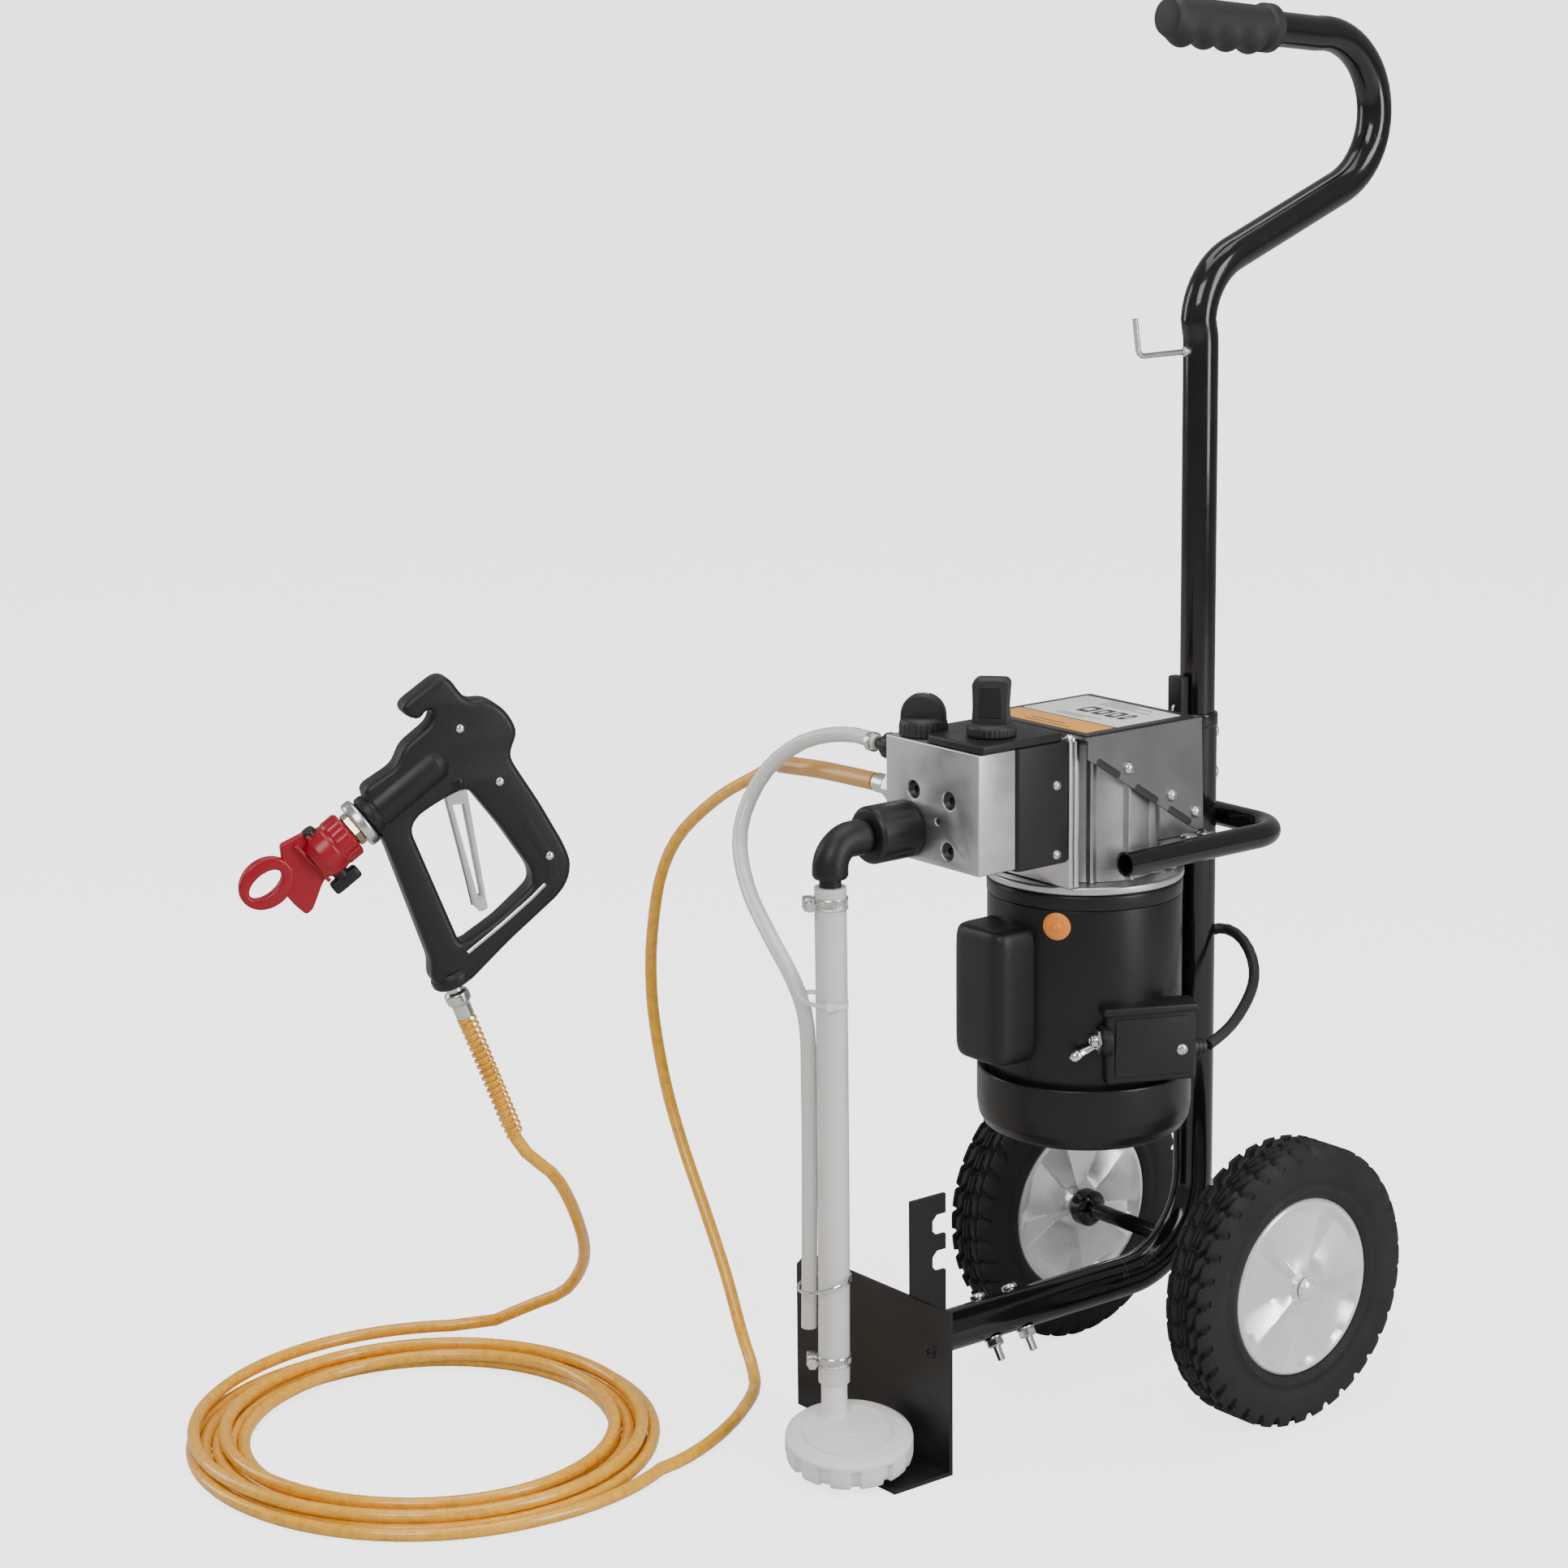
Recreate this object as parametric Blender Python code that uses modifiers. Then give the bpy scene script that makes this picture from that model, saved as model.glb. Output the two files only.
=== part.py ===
"""Airless paint sprayer on a two-wheeled cart, with its hose, spray gun and suction set.

Sizes below are millimetres.  The working frame has the axle over y = 0: +X is the side of the
switch box, -Y is the front (pump and foot plate), +Z is up and z = 0 is the floor.  Everything
hangs from one empty that puts the model's origin under the middle of the foot flange.
"""
import math

import bmesh
import bpy
from mathutils import Matrix, Vector

MM = 0.001
GAP = 0.3

# Cart
WHEEL_R = 101.6
WHEEL_X = 113.5
WHEEL_WIDTH = 40.0
HUB_R = 63.7
AXLE_R = 6.0
FRAME_R = 14.3
FRAME_BORE_R = 12.8
HANDLE_R = 12.5
UPRIGHT_Y = 20.3
BASE_Z = 84.2
BEND_R = 66.0
JOINT_Z = 490.0
RACK_R = 8.75
RACK_Z = 413.5
RACK_X = 68.0
PANEL_Y = -251.0
SHEET = 3.0
FOOT_Y = -275.5
STRIP_Y = -219.0
FOOT_BOLT_Y = (-181.0, -151.0)
BOLT_LEAN = math.radians(34)

# Motor and pump
MOTOR_Y = -88.6
SHELL_R = 68.5
BELL_R = 75.7
BELL_Z = 207.0
BELL_TOP_Z = 255.0
SHELL_TOP_Z = 380.0
END_BELL_TOP_Z = 397.0
HEAD_X = 48.0
PUMP_Z = (419.0, 502.0)
PUMP_FRONT_Y = -229.5
MANIFOLD_DEPTH = 33.0
FLANGE_Y = (-147.7, -138.0)
PISTON_Z = 455.0
BOX_NORMAL = math.radians(-25)
BOX_CENTRE = (80.0, -98.6, 286.0)

# Hoses and leads
HOSE_R = 4.5
OUTLET = (-48.3, -213.0, 461.0)
COIL_CENTRE = (-239.0, -492.0)
COIL_R = (118.0, 171.0)
COIL_HEIGHT = 26.0
SUCTION_R = 11.0
SUCTION_X = -26.0
SUCTION_Y = -297.0
SUCTION_PORT_Z = 440.0
RETURN_R = 5.5
CORD_R = 4.0
CORD_COIL_CENTRE = (-30.0, 155.0)
CORD_COIL_R = (27.0, 46.0)

# Spray gun, in its own frame: X along the barrel's rear, Z up, -Y towards its right side
GUN_AT = (-227.8, -473.5, 328.9)
GUN_YAW = math.radians(71.8)
BARREL_TILT = math.radians(36)
BARREL_FRONT = (-54.0, 124.0)
HOSE_TILT = math.radians(20.5)
TRIGGER_AT = (8.0, 0.0, 145.0)
TIP_AT = 36.4

# Rotations that stand a flat plate up: its own X runs forward along the cart, or along a barrel
FACING_SIDE = (math.pi / 2, 0, -math.pi / 2)
ALONG_BARREL = Matrix(((0, 1, 0), (0, 0, 1), (1, 0, 0))).to_euler()

HOSE_UP_ROUTE = [
    (-188.6, -213, 455.8), (-211, -215, 444), (-256, -216, 420), (-301, -218, 385), (-324, -220, 349),
    (-335, -221, 303), (-335, -223, 267), (-328, -225, 232), (-312, -227, 188), (-290, -228, 146),
    (-261, -230, 104), (-233, -233, 64), (-207, -239, 28), (-182, -248, 9), (-157, -266, 5),
    (-129, -300, 5), (-113, -325, 5), (-100, -350, 5), (-90, -376, 5), (-84, -402, 5),
]
HOSE_GUN_ROUTE = [
    (-375, -377, 9), (-360, -357, 19.8), (-334, -338, 36), (-308.7, -326.5, 51), (-282, -329.4, 77),
    (-260, -341.5, 102), (-238, -361.5, 131.5), (-221, -383.3, 162.4), (-212.6, -401.3, 184),
    (-213, -428.2, 211.6),
]
RETURN_ROUTE = [
    (-76.3, -213, 489), (-99, -214, 491), (-127, -219, 487), (-150, -228, 477), (-169, -240, 457),
    (-175, -254, 430), (-166, -266, 406), (-136, -281, 382), (-99, -292, 360), (-63, -300, 337),
    (-47, -302, 312), (-45, -302, 270), (-45, -302, 200), (-46, -302, 140), (-47, -302, 94),
]
CORD_ROUTE = [
    (87.4, -52.2, 278.5), (87, -34, 283), (78, -12, 291), (66, 12, 300), (50, 33, 309), (31, 44, 321),
    (16, 45, 331), (1, 42, 332), (-10, 40.5, 318), (-14, 40.5, 290), (-15, 40.5, 250),
    (-15, 40.5, 210), (-15, 41, 170), (-13, 46, 125), (-8, 58, 80), (2, 74, 42), (14, 95, 14),
    (21, 118, 4.6), (23, 138, 4.4),
]
TAIL_ROUTE = [(-48, 206, 4.4), (-64, 209, 4.4), (-81, 208, 6), (-98, 203.3, 9.2)]


def start():
    """Clears the scene and makes the two collections and the empty that carries the cart."""
    for old in list(bpy.data.objects):
        bpy.data.objects.remove(old)
    parts = bpy.data.collections.new("Paint sprayer")
    tools = bpy.data.collections.new("Cutters")
    for collection in (parts, tools):
        bpy.context.scene.collection.children.link(collection)
    return parts, tools


def empty(name, at, rotation=(0, 0, 0), parent=None):
    """An empty at a point in millimetres; joints and the gun hang from empties."""
    guide = bpy.data.objects.new(name, None)
    guide.location = Vector(at) * MM
    guide.rotation_euler = rotation
    guide.parent = parent or CART
    PARTS.objects.link(guide)
    return guide


PARTS, TOOLS = start()
CART = None
CART = empty("cart_origin", (0, -FOOT_Y, 0))


def material(name, colour, roughness, metallic=0.0):
    shade = bpy.data.materials.new(name)
    shade.use_nodes = True
    surface = shade.node_tree.nodes["Principled BSDF"]
    surface.inputs["Base Color"].default_value = (*colour, 1)
    surface.inputs["Roughness"].default_value = roughness
    surface.inputs["Metallic"].default_value = metallic
    return shade


GLOSS_BLACK = material("gloss black enamel", (0.012, 0.012, 0.013), 0.22)
SATIN_BLACK = material("satin black sheet", (0.016, 0.016, 0.018), 0.45)
PLASTIC_BLACK = material("moulded black plastic", (0.02, 0.02, 0.022), 0.5)
RUBBER = material("black rubber", (0.018, 0.018, 0.018), 0.8)
ALUMINIUM = material("machined aluminium", (0.62, 0.61, 0.6), 0.38, 1.0)
CASTING = material("cast aluminium", (0.5, 0.5, 0.5), 0.5, 1.0)
STEEL = material("zinc plated steel", (0.66, 0.66, 0.65), 0.3, 1.0)
GREY_SHEET = material("grey sheet steel", (0.3, 0.3, 0.3), 0.45, 0.6)
WHITE_PLASTIC = material("white hub plastic", (0.72, 0.7, 0.68), 0.4)
LABEL = material("printed label", (0.85, 0.84, 0.8), 0.4)
ORANGE = material("orange cap", (0.8, 0.33, 0.05), 0.4)
RED = material("red guard plastic", (0.62, 0.012, 0.03), 0.35)
AMBER = material("amber hose", (0.78, 0.42, 0.06), 0.35)
CLEAR = material("clear vinyl tube", (0.78, 0.76, 0.74), 0.2)
STRAINER = material("off-white strainer plastic", (0.74, 0.72, 0.7), 0.45)
COPPER = material("lacquered copper windings", (0.6, 0.22, 0.1), 0.35, 1.0)


def add(name, data, shade, at=(0, 0, 0), rotation=(0, 0, 0), parent=CART):
    """Puts mesh or curve data in the parts collection as one named sub-part."""
    thing = bpy.data.objects.new(name, data)
    thing.location = Vector(at) * MM
    thing.rotation_euler = rotation
    thing.parent = parent
    data.materials.append(shade)
    PARTS.objects.link(thing)
    return thing


def box(name, low, high, shade, bevel=0.0, segments=2, rotation=(0, 0, 0), parent=CART, at=None):
    """A box between two corners, turned about its centre, or about `at` when that is given."""
    centre = (Vector(low) + Vector(high)) / 2
    pivot = centre if at is None else Vector(at)
    mesh = bpy.data.meshes.new(name)
    form = bmesh.new()
    size = Matrix.Diagonal(((Vector(high) - Vector(low)) * MM).to_4d())
    offset = Vector((0, 0, 0)) if at is None else centre
    size[3][3] = 1.0
    bmesh.ops.create_cube(form, size=1, matrix=Matrix.Translation(offset * MM) @ size)
    form.to_mesh(mesh)
    form.free()
    thing = add(name, mesh, shade, pivot, rotation, parent)
    if bevel:
        rounding = thing.modifiers.new("Rounded edges", "BEVEL")
        rounding.width = bevel * MM
        rounding.segments = segments
        rounding.limit_method = "ANGLE"
    return thing


def turned(name, profile, shade, at=(0, 0, 0), axis="Z", steps=32, parent=CART, rotation=None):
    """A lathe piece: (radius, height) points run down the outside, and a ring closes up inside."""
    turns = {"Z": (0, 0, 0), "X": (0, math.pi / 2, 0), "-Y": (math.pi / 2, 0, 0)}
    mesh = bpy.data.meshes.new(name)
    form = bmesh.new()
    points = [form.verts.new((radius * MM, 0, height * MM)) for radius, height in profile]
    solid = profile[0][0] == 0 and profile[-1][0] == 0
    for first, second in zip(points, points[1:] + ([] if solid else points[:1])):
        form.edges.new((first, second))
    form.to_mesh(mesh)
    form.free()
    thing = add(name, mesh, shade, at, rotation or turns[axis], parent)
    screw = thing.modifiers.new("Turned", "SCREW")
    screw.steps = steps
    screw.render_steps = steps
    screw.use_merge_vertices = True
    screw.merge_threshold = 0.00001
    screw.use_smooth_shade = False
    return thing


def rod(name, radius, low, high, shade, at=(0, 0, 0), axis="Z", steps=24, parent=CART, rotation=None):
    """A plain cylinder between two heights on its own axis."""
    profile = [(0, high), (radius, high), (radius, low), (0, low)]
    return turned(name, profile, shade, at, axis, steps, parent, rotation)


def smooth_path(route, spacing):
    """Evenly spaced points on the smooth curve through the route's points."""
    guide = [Vector(point) for point in route]
    guide = [2 * guide[0] - guide[1]] + guide + [2 * guide[-1] - guide[-2]]
    fine = []
    for before, here, after, beyond in zip(guide, guide[1:], guide[2:], guide[3:]):
        for step in range(24):
            t = step / 24
            bend = 2 * before - 5 * here + 4 * after - beyond
            twist = 3 * here - before - 3 * after + beyond
            fine.append(here + (after - before) * t / 2 + bend * t * t / 2 + twist * t ** 3 / 2)
    fine.append(guide[-2])
    runs = [0.0]
    for here, after in zip(fine, fine[1:]):
        runs.append(runs[-1] + (after - here).length)
    count = max(2, round(runs[-1] / spacing))
    path = []
    place = 0
    for step in range(count + 1):
        want = runs[-1] * step / count
        while place < len(runs) - 2 and runs[place + 1] < want:
            place += 1
        share = (want - runs[place]) / (runs[place + 1] - runs[place])
        path.append(fine[place].lerp(fine[place + 1], min(share, 1.0)))
    return path


def arc(centre, radius, first, last, steps, plane):
    """Points of a circular bend; `plane` turns (across, up) into a point."""
    angles = [math.radians(first + (last - first) * step / steps) for step in range(steps + 1)]
    return [plane(centre[0] + radius * math.cos(angle), centre[1] + radius * math.sin(angle))
            for angle in angles]


def tube(name, points, radius, shade, detail=2, parent=CART, as_mesh=False):
    """A round bar, wire or hose along points, with closed ends."""
    data = bpy.data.curves.new(name, "CURVE")
    data.dimensions = "3D"
    data.bevel_depth = radius * MM
    data.bevel_resolution = detail
    data.use_fill_caps = True
    line = data.splines.new("POLY")
    line.points.add(len(points) - 1)
    for knot, point in zip(line.points, points):
        knot.co = (*(Vector(point) * MM), 1)
    thing = add(name, data, shade, parent=parent)
    return meshed(thing) if as_mesh else thing


def plate(name, outline, thickness, shade, holes=(), at=(0, 0, 0), rotation=(0, 0, 0), parent=CART):
    """A flat outline of its own X and Y, with its thickness shared either side of it."""
    data = bpy.data.curves.new(name, "CURVE")
    data.dimensions = "2D"
    data.fill_mode = "BOTH"
    data.extrude = thickness / 2 * MM
    for loop in (outline, *holes):
        line = data.splines.new("POLY")
        line.points.add(len(loop) - 1)
        for knot, (across, along) in zip(line.points, loop):
            knot.co = (across * MM, along * MM, 0, 1)
        line.use_cyclic_u = True
    return meshed(add(name, data, shade, at, rotation, parent))


def meshed(curve):
    """The same piece as a closed mesh, ready for Boolean modifiers."""
    name = curve.name
    graph = bpy.context.evaluated_depsgraph_get()
    mesh = bpy.data.meshes.new_from_object(curve.evaluated_get(graph))
    shade = curve.data.materials[0]
    place = curve.location.copy()
    turn = curve.rotation_euler.copy()
    parent = curve.parent
    bpy.data.objects.remove(curve)
    form = bmesh.new()
    form.from_mesh(mesh)
    bmesh.ops.remove_doubles(form, verts=form.verts, dist=0.000001)
    bmesh.ops.recalc_face_normals(form, faces=form.faces)
    form.to_mesh(mesh)
    form.free()
    mesh.materials.clear()
    return add(name, mesh, shade, place / MM, turn, parent)


def combine(target, tool, operation):
    """Joins a piece to its neighbour, or cuts it, and hides the tool away."""
    PARTS.objects.unlink(tool)
    TOOLS.objects.link(tool)
    tool.name = target.name + " " + operation.lower() + " tool"
    tool.hide_render = True
    tool.display_type = "WIRE"
    change = target.modifiers.new(operation.title(), "BOOLEAN")
    change.operation = operation
    change.object = tool
    return target


def join(target, *tools):
    for tool in tools:
        combine(target, tool, "UNION")
    return target


def cut(target, *tools):
    for tool in tools:
        combine(target, tool, "DIFFERENCE")
    return target


def frame_path(lift=0.0):
    """Centre line of the upright, the bend at the axle and the base tube."""
    def side(y, z):
        return Vector((0, y, z))
    bend = arc((UPRIGHT_Y - BEND_R, BASE_Z + BEND_R), BEND_R, 0, -90, 8, side)
    return [side(UPRIGHT_Y, JOINT_Z + lift), *bend, side(PANEL_Y + SHEET + GAP - lift, BASE_Z)]


def handle_path(start_lift=0.0):
    """Centre line of the handle: straight up, back over the S-bend and forward into the grip."""
    def side(y, z):
        return Vector((0, y, z))
    lower = arc((69.5, 768.5), 52, 180, 112.7, 5, side)
    upper = arc((136.5, 911.8), 57.2, -67.3, 95, 11, side)
    return [side(UPRIGHT_Y, 396 - start_lift), side(UPRIGHT_Y, 545), *lower, *upper,
            side(-6 - start_lift, 981.5 + start_lift * 0.09)]


def leaning(y, x=0.0, z=0.0):
    """Place and rotation of a foot bolt, whose axis leans towards +X below the tube."""
    return {"at": (x, y, BASE_Z + z), "rotation": (0, -BOLT_LEAN, 0)}


def make_frame():
    frame = tube("frame_tube", frame_path(), FRAME_R, GLOSS_BLACK, 6, as_mesh=True)
    cut(frame, tube("bore", frame_path(5), FRAME_BORE_R, GLOSS_BLACK, 6, as_mesh=True))
    cut(frame, rod("hole", AXLE_R + GAP, -20, 20, STEEL, (0, 0, WHEEL_R), "X"))
    handle = tube("handle_tube", handle_path(), HANDLE_R, GLOSS_BLACK, 6, as_mesh=True)
    cut(handle, tube("bore", handle_path(5), HANDLE_R - 1.6, GLOSS_BLACK, 6, as_mesh=True))
    for name, z in (("joint_bolt_upper", 476), ("joint_bolt_lower", 446)):
        hole = {"at": (0, UPRIGHT_Y, z), "axis": "-Y", "steps": 16}
        cut(frame, rod("hole", 3.3, -20, 20, STEEL, **hole))
        cut(handle, rod("hole", 3.3, -20, 20, STEEL, **hole))
        profile = [(0, 17.8), (4.5, 17.8), (5.5, 14.7), (3, 14.7), (3, -14.7), (5.5, -14.7),
                   (5.5, -17), (4, -18.4), (0, -18.4)]
        turned(name, profile, STEEL, (0, UPRIGHT_Y, z), "-Y", 16)
    foot = make_foot()
    for name, y in zip(("foot_bolt_front", "foot_bolt_rear"), FOOT_BOLT_Y):
        for piece in (frame, foot):
            cut(piece, rod("hole", 3.3, -24, 24, STEEL, steps=16, **leaning(y)))
        profile = [(0, 18.5), (5.5, 18.5), (5.5, 14.7), (3, 14.7), (3, -14.8), (6, -14.8),
                   (6, -20.5), (3, -20.5), (3, -31), (0, -31)]
        turned(name, profile, STEEL, steps=16, **leaning(y))
    box("joint_clamp", (-8, -3.5, 483), (8, UPRIGHT_Y - FRAME_R - GAP, 520), PLASTIC_BLACK, 2)


def make_foot():
    """Front panel, foot flange, notched strip and the stub that slides into the base tube."""
    foot = box("foot_plate", (-125, PANEL_Y, 0), (42, PANEL_Y + SHEET, 117), SATIN_BLACK)
    flange = box("flange", (-42, PANEL_Y - 49, 0), (42, PANEL_Y + 1, SHEET), SATIN_BLACK)
    strip = [(31, 99), (0, 99)]
    for low in (130, 156):
        strip += [(0, low), (8, low), (12, low + 4), (12, low + 11), (8, low + 15), (0, low + 15)]
    strip += [(0, 185), (31, 185)]
    notched = plate("strip", strip, SHEET, SATIN_BLACK, at=(0, STRIP_Y, 0), rotation=FACING_SIDE)
    stub = turned("stub", [(12.2, 1), (12.2, -125), (10.6, -125), (10.6, 1)], SATIN_BLACK,
                  (0, PANEL_Y + SHEET - 0.5, BASE_Z), "-Y")
    join(foot, flange, notched, stub)
    corner = box("corner", (-140, -260, 105), (-118, -240, 130), SATIN_BLACK,
                 rotation=(0, math.radians(45), 0))
    return cut(foot, corner)


def make_handle():
    """Soft grip with four finger swells, on the handle's front run, and the gun's wire hook."""
    slope = math.radians(5.28)
    seat = empty("grip_axis", (0, 35, 977.7), (math.pi / 2 - slope, 0, 0))
    profile = [(0, 51), (11, 51), (14.5, 48), (15.8, 42), (15.3, -36), (17.6, -42), (17.6, -50),
               (15, -51), (0, -51)]
    grip = turned("handle_grip", profile, RUBBER, parent=seat, steps=20)
    for place in (-30, -8, 14, 36):
        mesh = bpy.data.meshes.new("swell")
        form = bmesh.new()
        shape = Matrix.Translation(Vector((0, -7.5, place)) * MM)
        shape = shape @ Matrix.Diagonal((0.0125, 0.0125, 0.0095, 1))
        bmesh.ops.create_uvsphere(form, u_segments=12, v_segments=6, radius=1, matrix=shape)
        form.to_mesh(mesh)
        form.free()
        join(grip, add("swell", mesh, RUBBER, parent=seat))
    rear = tube("bore", handle_path(6), HANDLE_R + GAP, RUBBER, 6, as_mesh=True)
    cut(grip, rear)

    def side(y, z):
        return Vector((0, y, z))
    bend = arc((-34.5, 756.5), 6, -90, -172, 5, side)
    foot = side(UPRIGHT_Y - HANDLE_R - 3.6, 750.8)
    tube("wire_hook", [foot, *bend, side(-43.5, 777)], 2.0, STEEL, 2)


def make_rack():
    """The bar that wraps round the pump's back as a wide U."""
    def level(x, y):
        return Vector((x, y, RACK_Z))
    back = UPRIGHT_Y + FRAME_R + RACK_R + GAP
    bend = 32.0
    inset = RACK_X - bend

    def line(front):
        left = arc((-inset, back - bend), bend, 180, 90, 5, level)
        right = arc((inset, back - bend), bend, 90, 0, 5, level)
        return [level(-RACK_X, front), *left, *right, level(RACK_X, front)]
    rack = tube("rack_tube", line(-115), RACK_R, GLOSS_BLACK, 2, as_mesh=True)
    cut(rack, tube("bore", line(-120), RACK_R - 1.6, GLOSS_BLACK, 2, as_mesh=True))


def make_wheels():
    for side, name in ((1, "near"), (-1, "far")):
        axis = empty("wheel_" + name + "_axis", (side * WHEEL_X, 0, WHEEL_R))
        outward = (0, side * math.pi / 2, 0)
        half = WHEEL_WIDTH / 2
        edge = half * 0.76
        tyre = [(HUB_R + GAP, half * 0.86), (90, half), (97.5, half * 0.95), (WHEEL_R, edge),
                (WHEEL_R, -edge), (97.5, -half * 0.95), (90, -half), (HUB_R + GAP, -half * 0.86)]
        tyre = tyre[1:] + tyre[:1]
        turned("tyre_" + name, tyre, RUBBER, parent=axis, rotation=outward)
        hub = [(13, 20.5), (14, 18.2), (56, 17.8), (HUB_R, 17.2), (HUB_R, -17.2), (56, -17.8),
               (14, -18.8), (AXLE_R + GAP, -18.8), (AXLE_R + GAP, 20.5)]
        turned("hub_" + name, hub, WHITE_PLASTIC, parent=axis, rotation=outward)
    outer = WHEEL_X + 20.8
    inner = WHEEL_X - 19.1
    profile = [(0, outer + 5), (6, outer + 5), (8.5, outer + 2), (8.5, outer), (AXLE_R, outer),
               (AXLE_R, inner), (14, inner), (14, inner - 9), (10, inner - 12), (AXLE_R, inner - 12)]
    mirrored = [(radius, -x) for radius, x in reversed(profile)]
    turned("axle", profile + mirrored, GLOSS_BLACK, (0, 0, WHEEL_R), "X", 16)


def make_motor():
    at = (0, MOTOR_Y, 0)
    bell = [(SHELL_R + GAP, BELL_TOP_Z), (BELL_R - 1, BELL_TOP_Z), (BELL_R, BELL_TOP_Z - 2),
            (BELL_R, 226), (73.5, 216), (66, 209), (58, BELL_Z), (20, BELL_Z), (20, 211),
            (60, 211), (SHELL_R + GAP, 218)]
    turned("motor_bell", bell[1:] + bell[:1], GLOSS_BLACK, at, steps=32)
    shell = [(SHELL_R, SHELL_TOP_Z), (SHELL_R, 222), (SHELL_R - 2.5, 222), (SHELL_R - 2.5, SHELL_TOP_Z)]
    turned("motor_shell", shell, GLOSS_BLACK, at, steps=32)
    end = [(8.6, END_BELL_TOP_Z), (67.5, END_BELL_TOP_Z), (69.3, 395), (69.3, SHELL_TOP_Z + GAP),
           (8.6, SHELL_TOP_Z + GAP)]
    turned("motor_end_bell", end, GLOSS_BLACK, at, steps=32)
    stator = [(36, 350), (SHELL_R - 2.8, 350), (SHELL_R - 2.8, 268), (36, 268)]
    turned("stator", stator, COPPER, at, steps=24)
    spin = empty("rotor_axis", (0, MOTOR_Y, 0))
    rotor = [(0, 414), (8, 414), (8, 344), (35, 344), (35, 274), (8, 274), (8, 214), (0, 214)]
    rotor = turned("rotor", rotor, STEEL, parent=spin, steps=20)
    join(rotor, rod("crank", 17, 412, 434, STEEL, (5, 0, 0), parent=spin))
    make_fan(spin)
    cap = rod("overload_cap", 10, SHELL_R - 6, SHELL_R + 2.2, ORANGE, (0, MOTOR_Y, 369),
              rotation=(0, math.pi / 2, math.radians(-59)))
    cut(cap, rod("shell", SHELL_R + GAP, 340, 400, ORANGE, at, steps=64))
    make_capacitor()
    make_switch_box()


def make_fan(spin):
    """A hub with five straight blades under the windings."""
    fan = turned("cooling_fan", [(8.3, 252), (15, 252), (15, 236), (8.3, 236)], PLASTIC_BLACK,
                 parent=spin, steps=24)
    disc = turned("disc", [(12, 238.5), (54, 238.5), (54, 236), (12, 236)], PLASTIC_BLACK,
                  parent=spin, steps=20)
    blades = [box("blade", (12, -1, 237), (52, 1, 251), PLASTIC_BLACK, parent=spin, at=(0, 0, 0),
                  rotation=(0, 0, math.tau * turn / 5)) for turn in range(5)]
    return join(fan, disc, *blades)


def make_capacitor():
    """A rounded cover on the motor's front, open towards the shell."""
    cover = box("capacitor_cover", (-32, -186, 270), (20, -130, 366), PLASTIC_BLACK, 11, 3)
    room = box("room", (-29, -183, 273), (17, -120, 363), PLASTIC_BLACK, 8, 2)
    shell = rod("shell", SHELL_R + GAP, 240, 380, PLASTIC_BLACK, (0, MOTOR_Y, 0), steps=64)
    cut(cover, room, shell)


def make_switch_box():
    """The switch box faces forward of +X on the motor's flank, with its toggle at the front end."""
    turn = (0, 0, BOX_NORMAL)
    seat = empty("switch_box_axis", BOX_CENTRE, turn)
    body = box("switch_box", (-27, -33, -27), (0, 32, 25), PLASTIC_BLACK, 3, parent=seat,
               at=(0, 0, 0))
    lip = box("lip", (-27, -36, 22), (4, 33, 28), PLASTIC_BLACK, 1.5, parent=seat, at=(0, 0, 0))
    collar = rod("collar", 10, 30, 37, PLASTIC_BLACK, (-5, 0, 4), "-Y", parent=seat)
    relief = turned("relief", [(0, -30), (6.5, -30), (6.5, -36), (5, -43), (0, -43)],
                    PLASTIC_BLACK, (-13, 0, -8), "-Y", 20, seat)
    join(body, lip, collar, relief)
    shell = rod("shell", SHELL_R + GAP, 200, 380, PLASTIC_BLACK, (0, MOTOR_Y, 0), steps=64)
    bell = rod("bell", BELL_R + GAP, 200, BELL_TOP_Z + GAP, PLASTIC_BLACK, (0, MOTOR_Y, 0), steps=64)
    socket = rod("socket", 5.5, 29, 40, PLASTIC_BLACK, (-5, 0, 4), "-Y", parent=seat)
    cut(body, shell, bell, socket)
    pivot = empty("toggle_axis", (-5, -32, 4), (math.pi / 2 + math.radians(24), 0, 0), seat)
    bat = [(0, 27), (2.6, 26), (3.4, 22), (1.9, 8), (1.9, 0), (0, 0)]
    lever = turned("toggle_lever", bat, STEEL, parent=pivot, steps=16)
    mesh = bpy.data.meshes.new("ball")
    form = bmesh.new()
    bmesh.ops.create_uvsphere(form, u_segments=14, v_segments=8, radius=2.4 * MM)
    form.to_mesh(mesh)
    form.free()
    join(lever, add("ball", mesh, STEEL, parent=pivot))


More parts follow.
